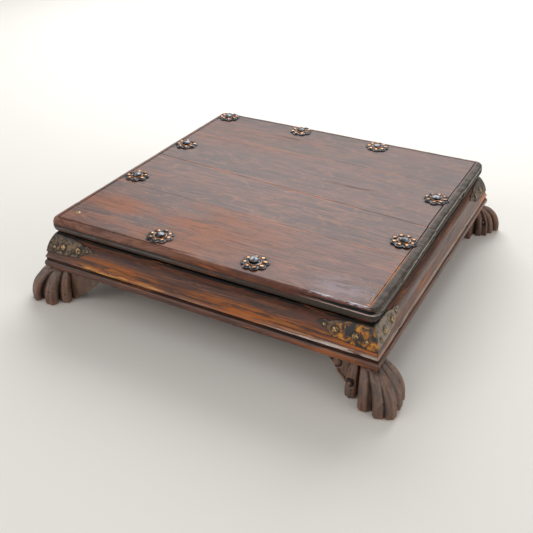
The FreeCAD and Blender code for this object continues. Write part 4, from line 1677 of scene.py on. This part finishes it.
# %% Polish of the top
top_polish = Finish("top_polish", roughness=0.5)
place = top_polish.place()
board_marks = top_polish.attribute("board_place", "Vector")
joint_gap, edge_gap = top_polish.axes(board_marks)[1:]
shift = top_polish.vector_maths("MULTIPLY", board_marks, (0.37, 0.0, 0.0))
grain_place = top_polish.vector_maths("ADD", place, shift)
streaks = top_polish.long_noise(grain_place, (2.6, 26.0, 26.0), 5.0, 0.6, 0.5)
grain = top_polish.long_noise(grain_place, (11.0, 190.0, 90.0), 5.0, 0.7, 0.4)
threads = top_polish.long_noise(grain_place, (20.0, 420.0, 90.0), 3.0, 0.7, shift=(0.2, 0.7, 0.0))
mottle = top_polish.long_noise(grain_place, (26.0, 62.0, 60.0), 6.0, 0.78, 1.2, (0.1, 0.3, 0.0))
clouds = top_polish.long_noise(place, (6.0, 9.0, 9.0), 3.0, 0.55, shift=(0.4, 0.1, 0.0))
amber = paint(158, 92, 54)
# Near black, for dirt and for painted shade.
soot_and_shade = paint(26, 18, 15)
front_wear = top_polish.near(place, (-0.1, -0.16, 0.128), (0.26, 0.15, 0.2))
back_wear = top_polish.near(place, (-0.12, 0.14, 0.128), (0.2, 0.08, 0.2))
worn = (front_wear * 1.2 + back_wear * 0.5).least(1.0) * streaks.rise(0.36, 0.6) * clouds.rise(0.25, 0.55)
dark_patch = top_polish.near(place, (-0.11, 0.02, 0.128), (0.12, 0.05, 0.2)) * streaks.rise(0.6, 0.42)
colour = top_polish.coats(
    paint(60, 33, 27),
    (paint(106, 60, 48), streaks.rise(0.2, 0.78)),
    (amber, worn * 0.78),
    (soot_and_shade, dark_patch * 0.5),
    (amber, grain.rise(0.52, 0.36) * clouds.rise(0.3, 0.6) * 0.4),
    (soot_and_shade, grain.rise(0.52, 0.68) * 0.6),
    (paint(146, 88, 56), mottle.rise(0.5, 0.34) * 0.6),
    (paint(46, 32, 30), mottle.rise(0.52, 0.66) * 0.6),
    (paint(134, 88, 62), threads.rise(0.5, 0.36) * 0.42),
    (soot_and_shade, threads.rise(0.54, 0.68) * 0.5),
)
print("nodes in the polish:", len(top_polish.tree.nodes))

# %% Joints, groove and stains
groove_gap = top_polish.attribute("groove_gap")
groove_left = top_polish.attribute("groove_left")
in_joint = joint_gap.rise(0.0009, 0.0002)
wander = (clouds - 0.5) * 0.006 + (streaks - 0.5) * 0.004
joint_glow = (joint_gap + wander).rise(0.005, 0.001) * grain.rise(0.62, 0.5) * clouds.rise(0.4, 0.55)
in_groove = groove_gap.between(-0.0006, 0.0002, 0.001, 0.0018) * groove_left
dirt_and_shade = top_polish.attribute("dirt_and_shade")
ghost = top_polish.attribute("ghost")
speckles = top_polish.noise(place, 480.0, 3.0, 0.6)
stub_stain = top_polish.near(place, (-0.181, -0.203, 0.123), (0.02, 0.01, 0.05)).rise(0.1, 0.7)
# A bluish painted sheen on the top near the front right corner.
painted_sheen = top_polish.near(place, (0.18, -0.2, 0.123), (0.06, 0.035, 0.05))
colour = top_polish.coats(
    colour,
    (amber, joint_glow * 0.85),
    (soot_and_shade, (in_joint * 0.3).most(in_groove * 0.75).most(dirt_and_shade * 0.5)),
    (paint(30, 24, 24), ghost * speckles.rise(0.52, 0.6) * 0.8),
    (paint(172, 140, 104), ghost * speckles.rise(0.45, 0.38) * 0.7),
    (paint(48, 42, 46), stub_stain * mottle.rise(0.4, 0.55) * 0.75),
    (paint(134, 122, 134), painted_sheen * mottle.rise(0.56, 0.46) * 0.55),
)
print("nodes with the stains:", len(top_polish.tree.nodes))

# %% [markdown]
# The edge has worn most. The right side has lost its polish and is grey, with a painted highlight along its
# arris.
# At the front right the side is redder, the split in it is painted black as shade, and the lip below has a
# painted highlight.
# The lower half of the side and the fine line in it are painted darker as shade. At the left the side keeps
# its colour, its upper half is painted lighter as lit, and its bead has a painted highlight. Near the front
# right corner the top has short painted glints, and the wax is yellow in the groove at the right.
# The underside of the boards was never polished.

# %% Wear of the edge
right, back, height = top_polish.axes(place)
at_right = right.rise(0.2195, 0.2245)
side_level = height.rise(0.1205, 0.1165)
low_level = height.rise(0.1148, 0.1128)
splashes = top_polish.long_noise(place, (22.0, 60.0, 150.0), 5.0, 0.7, 0.6)
grey_side = top_polish.mix(paint(48, 43, 37), paint(88, 80, 72), splashes.rise(0.4, 0.6))
red_side = side_level * (1 - low_level) * right.rise(-0.12, 0.04) * (1 - at_right)
# Painted light: the upper half of the side at the left is made lighter, as lit.
lit_side_colour = top_polish.mix(paint(118, 80, 64), paint(164, 128, 112), grain)
on_lit_side = height.between(0.1145, 0.1156, 0.122, 0.1228) * right.rise(0.0, -0.08)
on_lit_side = on_lit_side * back.rise(-0.2, -0.216) * (1 - in_groove) * mottle.rise(0.62, 0.4)
# Painted highlight: a thin bluish-grey line on the bead of the side at the left.
bead_highlight = height.between(0.1078, 0.109, 0.1102, 0.1112) * splashes.rise(0.62, 0.42) * right.rise(0.1, -0.06)
# Painted highlight along the arris of the right side.
from_line = height - 0.1128 - back.rise(-0.17, -0.02) * 0.0055 - (clouds - 0.5) * 0.003
arris_highlight = from_line.between(-0.0012, -0.0004, 0.0004, 0.0012) * right.rise(0.2235, 0.2265)
# Painted highlight on the lip below the split.
lip = top_polish.attribute("rubbed_and_highlit") * splashes.rise(0.25, 0.45)
# Painted glints near the front right corner.
glint_noise = top_polish.long_noise(place, (62.0, 420.0, 90.0), 4.0, 0.7, 0.8)
glints = top_polish.near(place, (0.188, -0.2232, 0.123), (0.07, 0.0034, 0.004)).rise(0.0, 0.5)
glints = glints * (1 - at_right) * glint_noise.rise(0.5, 0.57)
waxy = groove_gap.between(-0.0012, 0.0, 0.001, 0.0022) * right.rise(0.215, 0.2175)
waxy = waxy * top_polish.near(place, (0.22, -0.19, 0.123), (0.03, 0.15, 0.05)).rise(0.1, 0.7)
# Painted shade: the split and the fine line are black.
wall_shade_mask = top_polish.attribute("filled")
raw_wood = top_polish.mix(paint(96, 70, 50), paint(132, 100, 72), grain)
bare = edge_gap.rise(0.012, 0.016) * height.rise(board_bottom * mm + 0.001, board_bottom * mm + 0.0003)
colour = top_polish.coats(
    colour,
    # The top is made darker towards the back.
    (soot_and_shade, back.rise(-0.06, 0.16) * 0.22),
    (grey_side, at_right * 0.9),
    (paint(92, 46, 34), red_side * splashes.rise(0.36, 0.56) * 0.8),
    (paint(168, 92, 50), red_side * splashes.rise(0.58, 0.64) * 0.8),
    (lit_side_colour, on_lit_side * 0.6),
    # Painted shade: the lower half of the side is darker.
    (paint(58, 50, 43), low_level * splashes.rise(0.75, 0.45)),
    (paint(118, 112, 114), bead_highlight * 0.6),
    (paint(196, 198, 192), arris_highlight * splashes.rise(0.34, 0.52) * 0.9),
    (paint(214, 186, 176), lip),
    (paint(214, 210, 220), glints * 0.85),
    (paint(196, 128, 62), waxy * splashes.rise(0.35, 0.5) * 0.9),
    (paint(8, 6, 6), wall_shade_mask.rise(0.2, 0.6)),
    (raw_wood, bare),
)
top_polish.surface(
    Base_Color=colour,
    Roughness=0.42 + worn * 0.15 + grain * 0.1 + bare * 0.3 + at_right * 0.25,
    Coat_Weight=(0.13 - worn * 0.05 - in_joint * 0.08) * (1 - bare) * (1 - wall_shade_mask) * (1 - at_right * 0.6),
    Coat_Roughness=0.3,
    Specular_IOR_Level=0.24,
    Normal=top_polish.bump(grain + threads * 0.4 + splashes * side_level, 0.0008, 0.6),
)
top_polish.on(*boards)
print("nodes with the wear:", len(top_polish.tree.nodes))

# %% [markdown]
# The apron was stained, not waxed. Hands on the crest have taken the stain off in long streaks
# that follow the rail, so the pattern is laid along each rail by its own marks:
# how far along it a point lies, how far in and how high. The quirk under the crest is painted dark, as
# shade.
# Painted highlights lie along the crest, a painted reflection along the right rail,
# and painted shade darkens the band under the top, black at its upper edge.

# %% Stain of the apron
apron_stain = Finish("apron_stain", roughness=0.5)
rail_marks = apron_stain.attribute("rail_place", "Vector")
inward, rail_height = apron_stain.axes(rail_marks)[1:]
streaks = apron_stain.long_noise(rail_marks, (9.0, 60.0, 130.0), 5.0, 0.66, 0.6)
fibres = apron_stain.long_noise(rail_marks, (24.0, 200.0, 620.0), 3.0, 0.6)
patches = apron_stain.long_noise(rail_marks, (7.0, 20.0, 30.0), 3.0, 0.5, shift=(0.3, 0.0, 0.0))
threads = apron_stain.long_noise(rail_marks, (22.0, 200.0, 360.0), 4.0, 0.7, 0.5)
orange_wood = paint(186, 104, 44)
lower_band = rail_height.between(0.0122, 0.0142, 0.026, 0.036)
# Painted shade: the band under the top is darker.
shaded_upper_band = rail_height.rise(0.034, 0.044)
left_streak = apron_stain.near(rail_marks, (-0.12, 0.0, 0.02), (0.11, 0.2, 0.03))
front_streak = left_streak.most(apron_stain.near(rail_marks, (0.1, 0.0, 0.022), (0.17, 0.2, 0.03)))
# The stain is rubbed off in streaks along the band.
rubbed_and_highlit = (front_streak * 1.3 + patches.rise(0.52, 0.68)).least(1.0) * lower_band
rubbed_and_highlit = rubbed_and_highlit * (streaks * 0.55 + threads * 0.45).rise(0.44, 0.53)
on_crest = rail_height.between(0.0128, 0.0138, 0.0155, 0.0185)
# Painted highlights along the crest, where it turns over: pink, orange and white.
pink_crest_highlight = on_crest * fibres.rise(0.4, 0.62) * patches.rise(0.4, 0.55)
orange_crest_highlight = on_crest * left_streak.rise(0.1, 0.5) * threads.rise(0.46, 0.54)
white_crest_highlight = on_crest * apron_stain.near(rail_marks, (0.17, 0.0, 0.015), (0.09, 0.2, 0.03))
white_crest_highlight = white_crest_highlight * threads.rise(0.48, 0.54)
on_bead = rail_height.rise(0.0088, 0.007) * patches.rise(0.5, 0.64) * streaks.rise(0.4, 0.6)
on_right = apron_stain.axes(apron_stain.place())[0].rise(0.215, 0.222)
# Painted reflection along the right rail.
right_sheen = on_right * rail_height.between(0.027, 0.032, 0.034, 0.038) * streaks.rise(0.3, 0.6)
# Painted shade in the quirk under the crest.
quirk_shade = rail_height.between(0.0084, 0.0092, 0.0128, 0.0134)
raw_wood = apron_stain.mix(paint(84, 60, 44), paint(126, 94, 68), fibres)
under = inward.rise(0.02, 0.026)
colour = apron_stain.coats(
    paint(66, 42, 35),
    (paint(108, 66, 48), streaks.rise(0.32, 0.68)),
    (orange_wood, rubbed_and_highlit * 0.85),
    (paint(226, 150, 76), rubbed_and_highlit * threads.rise(0.56, 0.64) * 0.8),
    (paint(206, 150, 104), pink_crest_highlight * 0.8),
    (paint(240, 172, 92), orange_crest_highlight * 0.9),
    (paint(232, 216, 208), white_crest_highlight),
    (orange_wood, on_bead * 0.55),
    (paint(72, 43, 30), shaded_upper_band * streaks.rise(0.7, 0.4) * 0.7),
    (paint(128, 122, 120), right_sheen * 0.6),
    # Painted highlight along the crest of the right rail.
    (paint(186, 180, 172), on_right * on_crest * fibres.rise(0.62, 0.4) * 0.6),
    # Painted shade: black along the top of the band, under the nose of the top.
    (paint(10, 8, 7), rail_height.rise(0.0452, 0.0468)),
    (soot_and_shade, quirk_shade * 0.75),
    (soot_and_shade, fibres.rise(0.54, 0.7) * 0.6),
    (soot_and_shade, threads.rise(0.55, 0.66) * 0.55),
    (paint(168, 100, 58), threads.rise(0.45, 0.34) * 0.5),
    (raw_wood, under),
)
apron_stain.surface(
    Base_Color=colour,
    Roughness=0.42 + rubbed_and_highlit * 0.12 + fibres * 0.15 + under * 0.2 + shaded_upper_band * 0.2,
    Coat_Weight=(0.5 - rubbed_and_highlit * 0.25) * (1 - under) * (1 - quirk_shade) * (1 - shaded_upper_band),
    Coat_Roughness=0.32,
    Specular_IOR_Level=0.2,
    Normal=apron_stain.bump(fibres + streaks * 0.6, 0.0007, 0.6),
)
apron_stain.on(*rails.values())
print("nodes in the stain:", len(apron_stain.tree.nodes))

# %% [markdown]
# On the feet, the tool marks decide the colour. Each point of a foot knows how hollow the surface is there:
# the colour is darker in the grooves, and lighter and redder on the ridges.

# %% Carved wood
carved_wood = Finish("carved_wood", roughness=0.55)
place = carved_wood.place()
hollow = carved_wood.attribute("hollow")
grain = carved_wood.long_noise(place, (110.0, 110.0, 26.0), 4.0, 0.62, 0.6)
patches = carved_wood.noise(place, 42.0, 3.0, 0.55)
ridge = hollow.rise(0.0, -0.5)
groove = hollow.rise(0.05, 0.55)
colour = carved_wood.coats(
    paint(68, 51, 42),
    (paint(118, 89, 71), grain.rise(0.3, 0.7)),
    (paint(146, 90, 58), ridge * patches.rise(0.42, 0.62) * 0.75),
    (paint(22, 16, 13), groove * 0.9),
)
carved_wood.surface(
    Base_Color=colour,
    Roughness=0.45 + groove * 0.25 + grain * 0.1,
    Coat_Weight=0.25 * (1 - groove),
    Coat_Roughness=0.35,
    Normal=carved_wood.bump(grain + patches * 0.5, 0.0009, 0.6),
)
carved_wood.on(*feet)

# %% [markdown]
# The straps are old iron that was once lacquered. The lacquer has gone ochre and flakes off in patches.
# The front right one has kept most of it, apart from a bare, rounded patch and its pale right half.

# %% Iron straps
strap_iron = Finish("strap_iron", roughness=0.5, metallic=0.35)
place = strap_iron.place()
turn, rise_share, corner_number = strap_iron.axes(strap_iron.attribute("strap_place", "Vector"))
flakes = strap_iron.noise(place, 105.0, 6.0, 0.68, 0.9)
soft = strap_iron.noise(place, 26.0, 3.0, 0.5)
pitting = flakes.rise(0.35, 0.62)
front_right = abs(corner_number - 1.0).rise(0.6, 0.4)
on_side = turn.rise(0.03, 0.1) * front_right
side_iron = strap_iron.mix(paint(96, 82, 68), paint(150, 134, 116), pitting)
most_lacquer = strap_iron.near(place, (0.212, -0.236, 0.08), (0.05, 0.03, 0.05))
some_lacquer = strap_iron.near(place, (-0.2, -0.236, 0.08), (0.05, 0.03, 0.05)) * 0.5
cover = (most_lacquer * 1.5 + some_lacquer + soft.rise(0.5, 0.75) * 0.6).least(1.0) * (1 - on_side * 0.8)
lacquer = flakes.rise(0.465, 0.5) * cover
ochre = strap_iron.mix(paint(150, 92, 30), paint(222, 150, 52), flakes.rise(0.5, 0.62))
ochre = strap_iron.mix(paint(164, 128, 88), ochre, most_lacquer.rise(0.0, 0.3))
bare_patch = abs(turn + 0.47).rise(0.085, 0.07) * rise_share.between(0.3, 0.38, 0.9, 0.98)
bare_patch = bare_patch * front_right * flakes.rise(0.72, 0.55)
# Painted shade along both edges, where the strap stands off the rail.
rim = (rise_share.rise(0.07, 0.02) + rise_share.rise(0.93, 0.98)).least(1.0)
colour = strap_iron.coats(
    paint(42, 35, 30),
    (paint(88, 74, 62), pitting),
    (side_iron, on_side),
    (ochre, lacquer),
    (paint(44, 40, 40), bare_patch),
    # Painted shade on the edges, and a dark ring round each nail.
    (soot_and_shade, rim.most(strap_iron.attribute("socket")) * 0.85),
)
strap_iron.surface(
    Base_Color=colour,
    Metallic=(0.35 - lacquer * 0.3) * (1 - on_side * 0.7),
    Roughness=0.45 + lacquer * 0.15 + soft * 0.1,
    Normal=strap_iron.bump(flakes + soft, 0.0005, 0.7),
)
strap_iron.on(*straps)

# %% [markdown]
# The heads on the flowers are dark steel with a pale blue sheen, and the others are brown with rust.
# On the brass, the pearls are rubbed to a coppery gold on top, and the low plate between them
# has gone nearly black. Each point of a flower knows how high it was on its own ball,
# and that decides how much of the gold shows.

# %% Steel and brass
place = old_steel.place()
pits = old_steel.noise(place, 160.0, 4.0, 0.6)
colour = old_steel.mix(paint(40, 37, 36), paint(122, 124, 130), pits.rise(0.42, 0.62))
old_steel.surface(
    Base_Color=colour,
    Roughness=0.3 + pits * 0.25,
    Normal=old_steel.bump(pits, 0.0004, 0.6),
)
brown_nails = Finish("brown_nails", roughness=0.45, metallic=0.45)
rust = brown_nails.noise(brown_nails.place(), 420.0, 3.0, 0.6)
rusty = brown_nails.mix(paint(66, 50, 36), paint(178, 148, 102), rust.rise(0.42, 0.58))
brown_nails.surface(Base_Color=rusty)
brown_nails.on(nails[-1], *nails[:4])
place = worn_brass.place()
rubbing = worn_brass.noise(place, 210.0, 4.0, 0.6)
top_share = worn_brass.attribute("rise").rise(0.68, 0.98) * rubbing.rise(0.36, 0.56)
dark_metal = worn_brass.mix(paint(40, 37, 35), paint(112, 112, 116), rubbing.rise(0.42, 0.72))
gold = worn_brass.mix(paint(178, 108, 62), paint(206, 150, 100), rubbing)
worn_brass.surface(
    Base_Color=worn_brass.mix(dark_metal, gold, top_share),
    Roughness=0.42 - top_share * 0.12,
    Normal=worn_brass.bump(rubbing, 0.0004, 0.5),
)

# %% [markdown]
# What was never meant to be seen was never stained: battens, keys, dowels and pegs are bare wood,
# and their nails are plain iron. These pieces keep the shapes of the construction.

# %% Bare wood and hidden iron
bare_wood = Finish("bare_wood", roughness=0.7)
place = bare_wood.place()
grain = bare_wood.long_noise(place, (70.0, 14.0, 70.0), 4.0, 0.6)
bare_wood.surface(
    Base_Color=bare_wood.mix(paint(98, 72, 52), paint(140, 108, 78), grain.rise(0.3, 0.7)),
    Normal=bare_wood.bump(grain, 0.0006, 0.5),
)
hidden_iron = Finish("hidden_iron", roughness=0.55, metallic=0.7)
hidden_iron.surface(Base_Color=paint(74, 68, 64))
for name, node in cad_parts.items():
    if name.startswith("batten_nails"):
        hidden_iron.on(node)
    elif name.startswith(("batten", "corner_key", "board_dowels", "foot_peg")):
        bare_wood.on(node)
print("materials:", len(bpy.data.materials))
